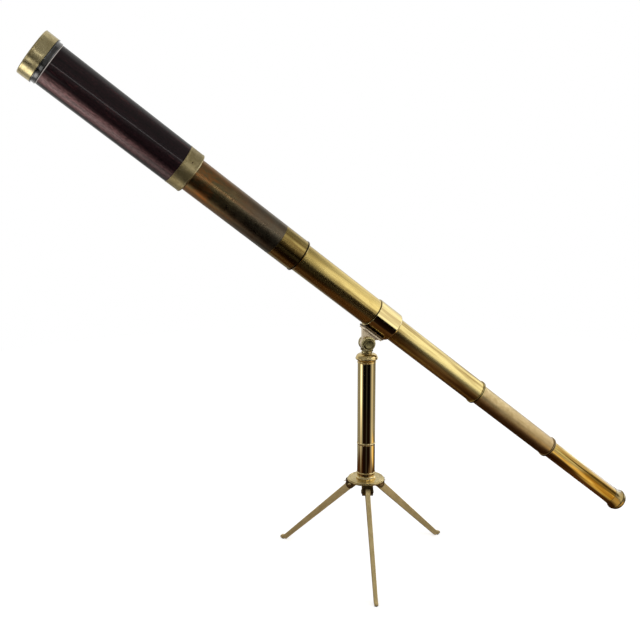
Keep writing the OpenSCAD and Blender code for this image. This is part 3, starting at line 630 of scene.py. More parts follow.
def plain_finish(name, place, light, dark, rough, metal, size, coat=0.0):
    """A dark or painted finish with a little cloudiness and a fine uneven surface."""
    constants = {"Metallic": metal, "Coat Weight": coat, "Coat Roughness": 0.08}
    material, bench, shader, vector = new_finish(name, place, constants)
    cloud = bench.noise(vector, size, 5.0, 0.6, 0.3)
    colour = bench.blend(bench.band(cloud, 0.35, 0.7), (*dark, 1), (*light, 1))
    fine = bench.noise(vector, size * 22.0, 2.0, 0.5)
    bench.dress(shader, colour, bench.band(cloud, 0.3, 0.7, *rough), fine, 0.02, 0.6)
    return material


def lens_glass():
    clear = {"Transmission Weight": 1.0, "IOR": 1.52}
    material, bench, shader, vector = new_finish("lens_glass", TUBE, clear)
    dust = bench.noise(vector, 700.0, 3.0, 0.6)
    tint = bench.blend(bench.noise(vector, 30.0, 1.0), (0.86, 0.93, 0.91, 1), (0.93, 0.97, 0.95, 1))
    bench.dress(shader, tint, bench.band(dust, 0.55, 0.8, 0.01, 0.10))
    return material


def end_seam(node):
    """Painted shade: a dark ring for the shadow in front of the lip at a node's rear end."""
    return [(Reach(node).rear - 2.4, 1.2)]


GOLD_DEEP = (0.21, 0.12, 0.03)
ferrule_1, ferrule_3, ferrule_4 = Reach("draw_1_ferrule"), Reach("draw_3_ferrule"), Reach("draw_4_ferrule")

wood = rosewood()
glass = lens_glass()
rim_brass = brass(
    "rim_brass", TUBE, (0.70, 0.59, 0.33), (0.46, 0.37, 0.18), (0.20, 0.15, 0.06), 0.4, 60.0, (0.20, 0.36),
    ROUND_TUBE, 0.35, 0.012, EVEN)
collar_brass = brass(
    "barrel_collar_brass", TUBE, (0.52, 0.43, 0.23), (0.34, 0.27, 0.13), (0.15, 0.10, 0.04), 0.5, 70.0,
    (0.34, 0.48), ROUND_TUBE, 0.35, 0.015, EVEN)
patina = brass(
    "draw_patina", TUBE, (0.38, 0.28, 0.125), (0.17, 0.13, 0.06), (0.40, 0.13, 0.028), 0.72, 60.0,
    (0.22, 0.36), ALONG_TUBE, 0.35, 0.005, (1.0, 1.0, 0.45), streaks=0.4, shift=0.3,
    shade_rings=[(Reach("barrel_collar").rear + 0.2, 1.0)],
    drift=(ferrule_1.front - 110, ferrule_1.front - 20, (0.115, 0.104, 0.08)))
ferrule_brass = brass(
    "ferrule_brass", TUBE, (0.56, 0.42, 0.14), (0.34, 0.25, 0.08), GOLD_DEEP, 0.5, 70.0, (0.16, 0.28),
    ALONG_TUBE, 0.3, 0.003, streaks=0.8, shift=0.7, shade_rings=end_seam("draw_1_ferrule"))
draw_2_brass = brass(
    "draw_2_brass", TUBE, (0.75, 0.58, 0.21), (0.50, 0.36, 0.11), GOLD_DEEP, 0.34, 42.0, (0.27, 0.30),
    ALONG_TUBE, 0.35, 0.003, streaks=0.7, shift=1.1, shade_rings=[(Reach("mount_collar").front, 1.4)],
    drift=(ferrule_1.rear + 60, ferrule_1.rear, (0.44, 0.32, 0.10)))
mount_brass = brass(
    "mount_collar_brass", TUBE, (0.82, 0.69, 0.33), (0.72, 0.59, 0.27), (0.20, 0.11, 0.04), 0.25, 60.0,
    (0.07, 0.15), bump=0.01, streaks=0.6, shift=1.5)
# Painted shade: a darkened brass for the saddle and flange under the collar, standing in for the shade there
shaded_saddle_brass = brass(
    "shaded_saddle_brass", TUBE, (0.16, 0.11, 0.06), (0.09, 0.06, 0.03), (0.05, 0.03, 0.015), 0.5, 160.0,
    (0.3, 0.44), ALL_WAYS, bump=0.01)
draw_3_brass = brass(
    "draw_3_brass", TUBE, (0.77, 0.63, 0.27), (0.52, 0.40, 0.14), GOLD_DEEP, 0.30, 48.0, (0.30, 0.33),
    ALONG_TUBE, 0.35, 0.003, streaks=0.8, shift=1.9, shade_rings=end_seam("draw_3_ferrule"))
tan_brass = brass(
    "draw_4_brass", TUBE, (0.62, 0.49, 0.27), (0.45, 0.34, 0.16), (0.26, 0.17, 0.07), 0.5, 160.0,
    (0.28, 0.40), bump=0.008, stretch=(1.0, 1.0, 0.7), streaks=0.5, shift=2.3,
    shade_rings=end_seam("draw_4_ferrule"), drift=(ferrule_3.rear + 20, ferrule_4.rear - 10, (0.40, 0.28, 0.13)))
draw_5_brass = brass(
    "draw_5_brass", TUBE, (0.86, 0.68, 0.30), (0.50, 0.38, 0.09), (0.26, 0.14, 0.02), 0.42, 40.0,
    (0.08, 0.18), ALONG_TUBE, 0.6, 0.008, streaks=1.0, shift=2.9)
bell_brass = brass(
    "bell_brass", TUBE, (0.34, 0.25, 0.105), (0.20, 0.14, 0.05), (0.10, 0.05, 0.015), 0.5, 60.0,
    (0.12, 0.26), ROUND_TUBE)
inner_brass = brass(
    "guide_brass", TUBE, (0.55, 0.42, 0.20), (0.34, 0.25, 0.10), (0.16, 0.10, 0.04), 0.5, 60.0, (0.25, 0.4),
    ROUND_TUBE, 0.3)
# Painted shade: darkened to stand in for the shade on the saddle screws under the collar; the barrel collar's pins
# share it
screw_brass = brass(
    "screw_brass", TUBE, (0.24, 0.18, 0.09), (0.13, 0.09, 0.04), (0.06, 0.04, 0.02), 0.5, 300.0, (0.2, 0.34),
    ROUND_TUBE)
pillar_brass = brass(
    "pillar_brass", PILLAR, (0.75, 0.59, 0.29), (0.54, 0.40, 0.17), (0.26, 0.15, 0.04), 0.25, 40.0,
    (0.04, 0.11), bump=0.005)
cap_brass = brass(
    "cap_brass", PILLAR, (0.78, 0.60, 0.28), (0.50, 0.37, 0.14), (0.24, 0.15, 0.05), 0.35, 90.0,
    (0.09, 0.24), ROUND_TUBE)
disc_brass = brass(
    "disc_brass", PILLAR, (0.74, 0.59, 0.28), (0.48, 0.37, 0.16), (0.22, 0.15, 0.06), 0.4, 90.0, (0.14, 0.3),
    ROUND_TUBE, 0.3)
olive_brass = brass(
    "olive_brass", PILLAR, (0.66, 0.56, 0.30), (0.42, 0.35, 0.16), (0.17, 0.13, 0.06), 0.5, 140.0,
    (0.16, 0.30), ALL_WAYS, stretch=EVEN)
web_brass = brass(
    "tongue_brass", PILLAR, (0.84, 0.70, 0.50), (0.66, 0.53, 0.36), (0.38, 0.28, 0.17), 0.4, 140.0,
    (0.26, 0.42), ALL_WAYS, stretch=EVEN, metal=0.7)
# Painted shade: the leg forks are darkened to stand in for the shade under the disc
shaded_fork_brass = brass(
    "shaded_fork_brass", PILLAR, (0.30, 0.24, 0.11), (0.17, 0.13, 0.06), (0.07, 0.05, 0.02), 0.5, 200.0,
    (0.22, 0.36), ALL_WAYS, stretch=EVEN)
head_brass = brass(
    "pivot_head_brass", PILLAR, (0.26, 0.22, 0.10), (0.14, 0.115, 0.05), (0.05, 0.04, 0.02), 0.5, 200.0,
    (0.12, 0.24), ALL_WAYS, stretch=EVEN)
pin_brass = brass(
    "pin_brass", PILLAR, (0.66, 0.54, 0.28), (0.42, 0.33, 0.15), (0.18, 0.13, 0.06), 0.4, 300.0, (0.2, 0.34),
    (600.0, 600.0, 600.0))
leg_brass = {side: brass(
    side + "_leg_brass", LEGS[side] @ Matrix.Rotation(math.radians(134), 4, "Y"), (0.72, 0.56, 0.27),
    (0.52, 0.39, 0.17), (0.36, 0.24, 0.10), 0.45, 120.0, (0.34, 0.48), (1400.0, 1400.0, 30.0), 0.25, 0.03,
    (1.0, 1.0, 0.4), 0.6) for side in LEGS}
black_ring = plain_finish(
    "black_lacquer", TUBE, (0.14, 0.138, 0.138), (0.07, 0.069, 0.069), (0.10, 0.2), 1.0, 90.0, 0.6)
steel = plain_finish(
    "dark_steel", PILLAR, (0.105, 0.085, 0.050), (0.035, 0.028, 0.018), (0.24, 0.4), 1.0, 260.0)
rubber = plain_finish(
    "foot_rubber", PILLAR, (0.018, 0.017, 0.016), (0.008, 0.008, 0.008), (0.55, 0.75), 0.0, 500.0)
blacking = plain_finish(
    "blacked_bore", TUBE, (0.010, 0.009, 0.008), (0.004, 0.004, 0.004), (0.5, 0.7), 0.0, 120.0)


# Fitting pieces to the frame

def fit(piece, body, node):
    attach(piece, body)
    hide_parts(node)


def turn(name, profile, material, body, slot, node, lining=None, place=TUBE, steps=ROUND):
    fit(lathe(name, rounded(profile), place, material, lining, steps), body, node)


def tube(name, node, material, body, wall=DRAW_WALL, place=TUBE):
    size = Reach(node, place)
    sizes = {"Radius": size.r, "Wall": wall, "Front": size.front, "Rear": size.rear, "Material": material}
    fit(grown(name, DRAWN_TUBE, sizes, place), body, node)


def cheeks(name, words, outline, bore, half, thickness, place, material, edge, body, node):
    """Two upright plates with a hole round the working frame's zero, whose outer faces are half from it."""
    for side, word in zip((-1, 1), words):
        at = place @ shift(0, side * (half - thickness / 2), 0) @ UPRIGHT
        fit(plate(f"{name}_{word}", [outline, circle(0, 0, bore)], thickness, at, material, edge),
            body, node)


def lying_plate(name, size, corner, low, high, material, edge, node):
    """A plate of size (front, rear, half width) that lies along the tube, low to high from its axis."""
    front, rear, half = size
    place = ACROSS @ shift(0, 0, (low + high) / 2)
    fit(plate(name, [block(-rear, -half, -front, half, corner)], high - low, place, material, edge),
        "tilt_mount", node)


# Barrel and objective

def make_barrel():
    cover, shell = Reach("barrel_wood"), Reach("barrel_tube")
    seat = shell.r + SEAT
    turn("wooden_cover", cover.sleeve(0.35), wood, "barrel", "rosewood", "barrel_wood")
    turn("barrel_inner_tube", shell.sleeve(), inner_brass, "barrel", "aged_brass", "barrel_tube", blacking)

    ring = Reach("barrel_front_ring")
    spigot, lip, end = Reach("objective_cell").r, Reach("objective_rim").rear, ring.rear
    bead, groove = 0.9, cover.r + 0.875
    profile = [(seat, lip + 0.6), (ring.bore, lip + 0.6), (ring.bore, ring.front), (spigot, ring.front)]
    profile += [(spigot, lip), (ring.r, lip, 0.3), (ring.r, lip + 1.3, 0.3), (groove, lip + 1.3, 0.15)]
    profile += arc(cover.r + 1.25 - bead, end - 1.2, bead, -40, 70, 10)
    profile += [(cover.r, end - 0.3), (cover.r - 0.3, end), (seat, end)]
    turn("black_front_ring", profile, black_ring, "barrel", "black_lacquer", "barrel_front_ring", blacking)

    band = Reach("barrel_collar")
    r, front, rear = band.r, band.front, band.rear
    turn("barrel_collar_band", [
        (seat, front), (r, front, 0.25), (r, front + 1.6, 0.12), (r - 0.2, front + 1.9, 0.1),
        (r - 0.2, rear - 2.9, 0.1), (r, rear - 2.6, 0.12), (r, rear - 1.0, 0.3), (r - 0.9, rear, 0.25),
        (band.bore, rear, 0.3), (band.bore, rear - 3.0), (seat, rear - 3.0)
    ], collar_brass, "barrel", "satin_brass", "barrel_collar")

    pins = Reach("barrel_pins")
    middle = (pins.front + pins.rear) / 2
    sizes = {"Ring Radius": band.r - 2.2, "First Angle": math.radians(250), "Pin Radius": 1.1,
             "Pin Length": 2.2, "Crown": 0.12, "Lean": (0.0, math.radians(90), 0.0), "Material": screw_brass}
    fit(grown("barrel_collar_pins", PIN_RING, sizes, TUBE @ shift(0, 0, middle)),
        "barrel", "barrel_pins")


def make_lens(name, node, bulge, rear_bulge):
    """A lens whose front bulges out, or in where bulge is negative, and whose rear bulges out."""
    size = Reach(node)
    edge = size.front + max(bulge, 0.0)
    face = [(size.r * t, edge - bulge * (1 - t * t)) for t in shares(16)]
    back = [(size.r * t, size.rear - rear_bulge * t * t) for t in reversed(shares(16))]
    turn(name, face + back, glass, "barrel", "glass", node)


def make_objective():
    rim, cell = Reach("objective_rim"), Reach("objective_cell")
    r, front, rear, seat = rim.r, rim.front, rim.rear, cell.r + SEAT
    turn("objective_rim_band", [
        (rim.bore + 1.0, front, 0.25), (r - 1.0, front, 0.3), (r, front + 1.0, 0.3), (r, front + 2.2, 0.1),
        (r - 0.25, front + 2.4, 0.05), (r - 0.25, front + 2.8, 0.05), (r, front + 3.0, 0.1),
        (r, rear - 0.6, 0.15), (r - 0.6, rear, 0.15), (seat, rear), (seat, cell.front),
        (rim.bore, cell.front), (rim.bore, front + 1.0, 0.3)
    ], rim_brass, "barrel", "satin_brass", "objective_rim")
    inner = Reach("crown_lens").r + SEAT
    turn("objective_cell_ring", [
        (cell.bore, cell.front, 0.15), (cell.r, cell.front), (cell.r, cell.rear), (inner, cell.rear),
        (inner, cell.front + 1.5), (cell.bore, cell.front + 1.5, 0.15)
    ], inner_brass, "barrel", "aged_brass", "objective_cell", blacking)
    make_lens("crown_glass", "crown_lens", 1.6, 1.5)
    make_lens("flint_glass", "flint_lens", -1.5, 0.3)
    keeper = Reach("lens_ring")
    turn("lens_keeper", [
        (keeper.bore, keeper.front, 0.2), (keeper.r, keeper.front), (keeper.r, keeper.rear),
        (keeper.bore, keeper.rear, 0.3)
    ], inner_brass, "barrel", "aged_brass", "lens_ring", blacking)


# Draws

def make_first_draw():
    tube("first_draw_tube", "draw_1_tube", patina, "first_draw")
    size = Reach("draw_1_ferrule")
    r, bore = Reach("draw_1_tube").r, Reach("draw_2_tube").r + SLIDE
    relief, spigot = r - DRAW_WALL - 0.75, r - DRAW_WALL - SEAT
    start, end = size.front + 8.0, size.rear
    turn("first_draw_ferrule", [
        (relief, size.front), (spigot, size.front), (spigot, start), (r, start, 0.12), (r, end - 3.0, 0.2),
        (r + 0.55, end - 2.8, 0.35), (r + 0.6, end - 0.9, 0.3), (r - 0.3, end, 0.35), (bore, end, 0.25),
        (bore, end - GUIDE), (relief, end - GUIDE)
    ], ferrule_brass, "first_draw", "bright_brass", "draw_1_ferrule", inner_brass)


def make_lipped_draw(number, word, material, slot):
    body, node = f"{word}_draw", f"draw_{number}_ferrule"
    tube(f"{word}_draw_tube", f"draw_{number}_tube", material, body)
    r, bore = Reach(f"draw_{number}_tube").r, Reach(f"draw_{number + 1}_tube").r + SLIDE
    end, lip_r, guide_r = Reach(node).rear, Reach(node).r, r - DRAW_WALL - SEAT
    profile = [(bore, end - GUIDE), (guide_r, end - GUIDE), (guide_r, end - LIP), (r, end - LIP)]
    profile += arc(lip_r - 0.5, end - LIP + 0.5, 0.5, -90, 0, 5) + arc(lip_r - 1.2, end - 1.2, 1.2, 0, 90, 8)
    turn(f"{word}_draw_lip", profile + [(bore, end, 0.2)], material, body, slot, node, inner_brass)


def make_draws():
    make_first_draw()
    tube("second_draw_tube", "draw_2_tube", draw_2_brass, "tilt_mount")
    make_lipped_draw(3, "third", draw_3_brass, "bright_brass")
    make_lipped_draw(4, "fourth", tan_brass, "tan_brass")
    tube("fifth_draw_tube", "draw_5_tube", draw_5_brass, "fifth_draw")


def make_eyepiece():
    size, draw, eye = Reach("eyepiece_bell"), Reach("draw_5_tube"), Reach("eye_lens")
    start, end, r = draw.rear, size.rear, size.r
    inner, foot, seat = draw.r - DRAW_WALL - SEAT, draw.r + 0.35, eye.r + SEAT
    flange = start + 0.62 * (end - start)
    rise, length = r - 0.2 - foot, flange - start - 2
    quarter = [math.radians(90 * t) for t in shares(16)]
    dome = end - flange - 2.6
    profile = [(inner - 0.9, size.front), (inner, size.front), (inner, start), (foot, start, 0.15)]
    profile += [(foot + rise * (1 - math.cos(a)), start + 2 + length * math.sin(a)) for a in quarter]
    profile += [(r, flange + 0.3, 0.15), (r, flange + 1.9, 0.25), (r - 0.6, flange + 2.6, 0.15)]
    profile += arc(r - 0.6 - dome, flange + 2.6, dome, 8, 90, 14)
    profile += [(size.bore + 2.4, end, 0.3), (size.bore, end - 1.2, 0.15), (size.bore, end - 3.6)]
    profile += [(seat, end - 3.6), (seat, start + 2.0), (inner - 0.9, start + 2.0)]
    turn("eyepiece_bell_cap", profile, bell_brass, "fifth_draw", "bright_brass", "eyepiece_bell", blacking)
    face = [(eye.r * t, eye.front + 1.2 * t * t) for t in shares(12)]
    turn("eye_glass", face + [(eye.r, eye.rear), (0.0, eye.rear)], glass, "fifth_draw", "glass", "eye_lens",
         steps=96)


# Mount

def make_mount_collar():
    size = Reach("mount_collar")
    front, rear, low = size.front, size.rear, size.high[0]
    bore, next_bore = Reach("draw_2_tube").r + SEAT, Reach("draw_3_tube").r + SLIDE
    r = bore + 1.4
    profile = [(bore, front), (r, front, 0.4)] + arc(r - 3.0, rear - 3.0, 3.0, 0, 90, 12)
    profile += [(next_bore, rear, 0.1), (next_bore, rear - 3.0), (bore, rear - 3.0)]
    turn("mount_collar_band", profile, mount_brass, "tilt_mount", "bright_brass", "mount_collar")
    start, end, seat = front + 1.0, front + 34.4, low - FLANGE
    for name, half, corner, top, edge in (
            ("collar_saddle", 6.5, 1.2, r - 5.0, 0.3), ("collar_flange", 13.0, 1.6, seat, 0.35)):
        lying_plate(name, (start, end, half), corner, top, low, shaded_saddle_brass, edge,
                    "mount_collar")
    heads = Reach("collar_screws")
    sizes = {"Head Height": seat - heads.low[0], "Pitch Across": heads.high[1] - heads.low[1] - 4.2,
             "Pitch Along": 9.6, "Material": screw_brass}
    place = ACROSS @ shift(-(start + end) / 2, 0, seat) @ Matrix.Rotation(math.pi, 4, "X")
    fit(grown("saddle_screws", SCREW_GRID, sizes, place), "tilt_mount", "collar_screws")


def make_tongue():
    """The web's front edge hangs plumb and its rear edge runs level, with a hollow corner above the eye."""
    size = Reach("tilt_tongue")
    pivot = (TUBE.inverted() @ Vector(joints["tube_tilt"]["pos_m"])).x / MM
    eye, base = size.high[0] - pivot, size.low[0] + FLANGE
    slope = math.asin(-TUBE.col[2].z)
    sine, cosine = math.sin(slope), math.cos(slope)
    lying_plate("tongue_head", (size.front, size.rear, 11.5), 1.4, size.low[0], base, web_brass, 0.4,
                "tilt_tongue")

    def plumb(level, up):
        return pivot - level * sine - up * cosine, level * cosine - up * sine

    front, rear = size.front + 0.2, size.rear - 1.0
    shelf = (pivot - base) * cosine - rear * sine
    corner = plumb(eye * 0.98, shelf - 1.9)
    meet = math.degrees(math.atan2(corner[1], corner[0] - pivot))
    nose = front + (pivot - base) * sine / cosine
    outline = rounded([(base - 0.8, front), (base, front), (pivot, nose, 1.2)], 4)
    outline += arc(pivot, 0, eye, -90, meet, 48)
    outline += [corner, plumb(eye + 0.6, shelf - 0.6), plumb(eye + 2, shelf)]
    outline += [(base, rear), (base - 0.8, rear)]
    fit(plate("tilt_tongue_web", [outline, circle(pivot, 0, PIVOT_R + SLIDE)], 7.4, TUBE @ UPRIGHT,
              web_brass, 0.5), "tilt_mount", "tilt_tongue")


def make_knuckle():
    size = Reach("knuckle_fork", PIVOT)
    knuckle, half, foot = size.high[2], size.high[1], 6.7
    seat = Reach("swivel_washer", PILLAR).rear + SLIDE
    low = seat - Reach("knuckle_fork", PILLAR).rear + knuckle
    angle = math.degrees(math.asin(foot / knuckle))
    outline = [(-foot, low + 2.2), (foot, low + 2.2)] + arc(0, 0, knuckle, -90 + angle, 270 - angle, 48)
    bore = PIVOT_R + SEAT
    cheeks("knuckle_cheek", ("front", "rear"), outline, bore, half, 4.3, PIVOT, olive_brass, 0.7,
           "swivel_head", "knuckle_fork")
    r = 7.7
    turn("knuckle_base", [
        (0, low - 22.0), (STEM_R, low - 22.0, 0.3), (STEM_R, low), (r, low, 0.3), (r, low + 1.3, 0.5),
        (r - 0.9, low + 2.2, 0.4), (r - 0.9, low + 2.7, 0.2), (0, low + 2.7)
    ], olive_brass, "swivel_head", "olive_brass", "knuckle_fork", place=PIVOT)

    screw, nut, place = Reach("pivot_screw", PIVOT), Reach("pivot_nut", PIVOT), PIVOT @ UPRIGHT
    r, end, near, far = screw.high[0], -screw.high[1], -nut.low[1], -nut.high[1]
    for name, profile, node, steps in (
            ("pivot_screw_head", [
                (0, half), (r, half, 0.15), (r, half + 1.6, 0.5), (r - 1.3, half + 2.7, 0.5),
                (r - 2.3, half + 2.7, 0.3), (r - 2.8, half + 2.3, 0.3), (0, half + 2.1)],
             "pivot_screw", ROUND),
            ("pivot_screw_shank", [
                (0, end), (PIVOT_R, end, 0.4), (PIVOT_R, half + 0.2), (0, half + 0.2)], "pivot_screw", 64),
            ("pivot_nut_ring", [
                (bore, far), (5.6, far, 0.3), (6.6, far + 0.8, 0.3), (6.6, near, 0.3), (bore, near)],
             "pivot_nut", ROUND)):
        turn(name, profile, head_brass, "swivel_head", "olive_brass", node, place=place, steps=steps)


# Pillar and tripod

def make_pillar():
    upper, lower = Reach("pillar_upper_tube", PILLAR), Reach("pillar_lower_tube", PILLAR)
    r, bore, plug = upper.r, upper.bore, upper.bore - SEAT
    for name in ("pillar_upper", "pillar_lower"):
        tube(name, name + "_tube", pillar_brass, "stand", r - bore, PILLAR)

    z, top, neck, bearing = upper.rear, Reach("pillar_cap", PILLAR).rear, 7.7, STEM_R + SLIDE
    rise, spread = top - 0.5 - (z + 8.5), r + 2.4 - neck
    dome = [math.radians(a) for a in range(0, 81, 5)]
    profile = [(8.0, z - PLUG), (plug, z - PLUG), (plug, z)] + arc(r - 0.1, z + 0.8, 0.8, -90, 90, 10)
    profile += arc(r + 2.6, z + 1.9, 2.6, 180, 125, 12) + arc(r + 0.85, z + 6.9, 2.4, -70, 25, 14)
    profile += [(neck + spread * math.cos(a), z + 8.5 + rise * math.sin(a)) for a in dome]
    profile += [(neck, top - 0.5, 0.1), (neck, top, 0.15), (bearing, top), (bearing, z - 6), (8.0, z - 6)]
    turn("pillar_turned_cap", profile, cap_brass, "stand", "bright_brass", "pillar_cap", place=PILLAR)

    low, high = lower.rear, upper.front
    middle = (low + high) / 2
    profile = [(plug - 2, low - PLUG), (plug, low - PLUG), (plug, low), (r, low, 0.1)]
    profile += [(r, middle - 1.3, 0.15)] + arc(r - 0.4, middle, 0.95, -60, 60, 10)
    profile += [(r, middle + 1.3, 0.15), (r, high, 0.1), (plug, high), (plug, high + PLUG)]
    profile += [(plug - 2, high + PLUG)]
    turn("pillar_seam_ring", profile, pillar_brass, "stand", "bright_brass", "pillar_joint_ring",
         place=PILLAR)

    disc = Reach("tripod_disc", PILLAR)
    z, joint, bolt = disc.rear, lower.front, STEM_R + SEAT
    profile = [(bolt, z), (r + 1.6, z, 0.1), (r + 1.6, z + 1.6, 0.3)] + arc(r + 2.2, z + 4, 2.2, 230, 180, 8)
    profile += [(r, joint - 2.2, 0.1)] + arc(r, joint - 1.1, 0.7, -80, 80, 10)
    profile += [(r, joint), (plug, joint), (plug, joint + PLUG), (bolt, joint + PLUG)]
    turn("pillar_flared_foot", profile, pillar_brass, "stand", "bright_brass", "pillar_foot", place=PILLAR)

    r, low, high = disc.r, disc.front, disc.rear
    profile = [(bolt, low), (r - 0.8, low, 0.2), (r, low + 0.6, 0.25), (r, low + 1.8, 0.2)]
    profile += [(r - 0.7, low + 2.1, 0.12)] + arc(r - 1.9, high - 1.2, 1.2, 0, 90, 8)
    profile += [(r - 3.4, high, 0.12), (r - 3.7, high - 0.4, 0.1), (r - 4.3, high - 0.4, 0.1)]
    profile += [(r - 4.6, high, 0.12), (bolt, high)]
    turn("tripod_moulded_disc", profile, disc_brass, "stand", "satin_brass", "tripod_disc", place=PILLAR)
    washer = Reach("swivel_washer", PILLAR).sleeve(0.15)
    turn("swivel_washer_ring", washer, steel, "stand", "dark_steel", "swivel_washer", place=PILLAR)


def make_leg_forks():
    for side, place in LEGS.items():
        node = "leg_fork_" + side
        r, half, top = Reach(node, place).high
        cheek = 4.2
        outline = [(r, top), (-r, top)] + arc(0, 0, r, 180, 360, 32)
        cheeks(side + "_fork_cheek", "ab", outline, PIN_R + SEAT, half, cheek, place, shaded_fork_brass, 0.35,
               "stand", node)
        fit(plate(side + "_fork_bridge", [block(-r, top - 2.5, r, top, 0.1)], 2 * (half - cheek) + 0.8,
                  place @ UPRIGHT, shaded_fork_brass, 0.1), "stand", node)


def make_leg_pins():
    half = Reach("leg_fork_right", LEGS["right"]).high[1]
    hinge = Vector(joints["right_leg_fold"]["pos_m"]) / MM
    ring, first = math.hypot(hinge.x, hinge.y), math.atan2(hinge.y, hinge.x)
    third = math.tau / 3
    for name, radius, start, length, crown in (
            ("leg_pin_shanks", PIN_R, -half, 2 * half, 0.0), ("leg_pin_heads", 2.9, half, 1.2, 0.5),
            ("leg_pin_tails", 2.9, -half - 1.2, 1.2, 0.0)):
        sizes = {"Ring Radius": ring, "First Angle": first, "Pin Radius": radius, "Pin Length": length,
                 "Crown": crown, "Lean": (math.radians(-90), 0.0, 0.0), "Material": pin_brass}
        piece = grown(name, PIN_RING, sizes, shift(0, 0, hinge.z))
        for vertex in piece.data.vertices:
            angle = math.atan2(vertex.co.y, vertex.co.x) - first
            nearest = first + round(angle / third) * third
            vertex.co += Vector((-math.sin(nearest), math.cos(nearest), 0)) * start * MM
        fit(piece, "stand", "leg_pins")


def make_legs():
    toe, toe_len, head_r, thickness, end_thickness = 4.6, 8.0, 6.4, 6.6, 5.3
    top_half, end_half = 11.3 / 2, 7.3 / 2
    head_angle = math.degrees(math.asin(top_half / head_r))
    for side, place in LEGS.items():
        size, stud = Reach("leg_" + side, place), Reach("foot_stud_" + side, place)
        foot_x, foot_z = size.high[0] - toe_len, size.low[2] + toe / 2
        slope = math.atan2(-foot_z, foot_x)
        along = Vector((math.cos(slope), -math.sin(slope)))
        across = Vector((math.sin(slope), math.cos(slope)))
        foot = Vector((foot_x, foot_z))
        upper, bend = across * top_half + along * 8, foot + across * end_half
        sole = (toe / 2 - end_half * across.y) / math.sin(slope)
        heel = (bend.x + 1, foot_z + toe / 2, 1.0)
        outline = rounded([(5.6, head_r, 1.2), (*upper, 6.0), (*bend, 3.0), heel], 5)
        outline += arc(foot_x + toe_len - toe / 2, foot_z, toe / 2, 90, -90, 12)
        outline += [(foot_x + along.x * sole - across.x * end_half, foot_z - toe / 2)]
        outline += arc(0, 0, head_r, -math.degrees(slope) - head_angle, -270, 28)[:-1] + [(0.0, head_r)]

        def tapered(point, length=foot_x):
            share = min(max(point.x / length, 0.0), 1.0)
            return Vector((point.x, point.y, point.z * (1 - share * (1 - end_thickness / thickness))))

        bar = plate(side + "_leg_bar", [outline, circle(0, 0, PIN_R + SLIDE)], thickness,
                    place @ UPRIGHT, leg_brass[side], 0.55, tapered)
        fit(bar, side + "_leg", "leg_" + side)
        low, high, r = stud.low[2], stud.high[2], (stud.high[0] - stud.low[0]) / 2
        profile = [(0, low), (r, low, 0.3), (r, low + 1.2, 0.2), (1.2, low + 1.2), (1.2, high), (0, high)]
        centre = place @ shift((stud.low[0] + stud.high[0]) / 2, 0, 0)
        turn(side + "_foot_stud", profile, rubber, side + "_leg", "foot_rubber", "foot_stud_" + side,
             place=centre, steps=48)


make_barrel()
make_objective()
make_draws()
make_eyepiece()
make_mount_collar()
make_tongue()
make_knuckle()
make_pillar()
make_leg_forks()
make_leg_pins()
make_legs()

# Finishes of the CAD nodes that keep their own shape, mostly out of sight
for material, *nodes in (
        (inner_brass, "barrel_guide", "draw_2_guide", *(f"draw_{number}_stop" for number in range(1, 6))),
        (blacking, "erector_tube", "eyepiece_tube"),
        (glass, "erector_front_lens", "erector_rear_lens", "field_lens"),
        (pin_brass, "pillar_screw"), (steel, "swivel_nut")):
    for node in nodes:
        kept = frame["nodes"][node].data.materials
        kept.clear()
        kept.append(material)


# Floor, tent, table cloth and lamps

# Sides of the round sheets, their sizes in metres, and the rays that pass the cloths
SKIRT = 96
FLOOR_RADIUS, TENT_RADIUS, TABLE_HEIGHT = 1.7, 1.45, 0.0008
UNSEEN_BY = ("camera", "diffuse", "transmission", "shadow", "volume_scatter")


def sheet_mesh(name, points, faces, material):
    mesh = bpy.data.meshes.new(name)
    mesh.from_pydata(points, [], faces)
    mesh.materials.append(material)
    sheet = put(name, mesh)
    return sheet


def floor_paper():
    """Pale paper that the camera sees as white, and which keeps the shadow."""
    material = bpy.data.materials.new("floor_paper")
    bench = fresh_bench(material)
    matte = bench.take("ShaderNodeBsdfDiffuse", {"Color": (0.86, 0.86, 0.855, 1)})
    none = bench.take("ShaderNodeEmission", {"Strength": 0.0})
    lift = bench.take("ShaderNodeEmission", {"Color": (1, 1, 1, 1), "Strength": 0.50})
    seen = bench.add("ShaderNodeLightPath").outputs["Is Camera Ray"]
    shown = bench.take("ShaderNodeMixShader", {0: seen, 1: none, 2: lift})
    both = bench.take("ShaderNodeAddShader", {0: matte, 1: shown})
    bench.add("ShaderNodeOutputMaterial", {"Surface": both})
    return material


def mirrored_cloth(name, paint):
    """Cloth of a set brightness. Paint gets its node bench, the place on it and the bearing in degrees:
    0 is the front, 90 the right."""
    material = bpy.data.materials.new(name)
    bench = fresh_bench(material)
    where = bench.parts(bench.add("ShaderNodeTexCoord").outputs["Object"])
    turned = bench.math("ARCTAN2", where["X"], bench.times(where["Y"], -1.0))
    colour = paint(bench, where, bench.times(turned, math.degrees(1)))
    cloth = bench.take("ShaderNodeEmission", {"Color": colour, "Strength": 1.0})
    bench.add("ShaderNodeOutputMaterial", {"Surface": cloth})
    return material


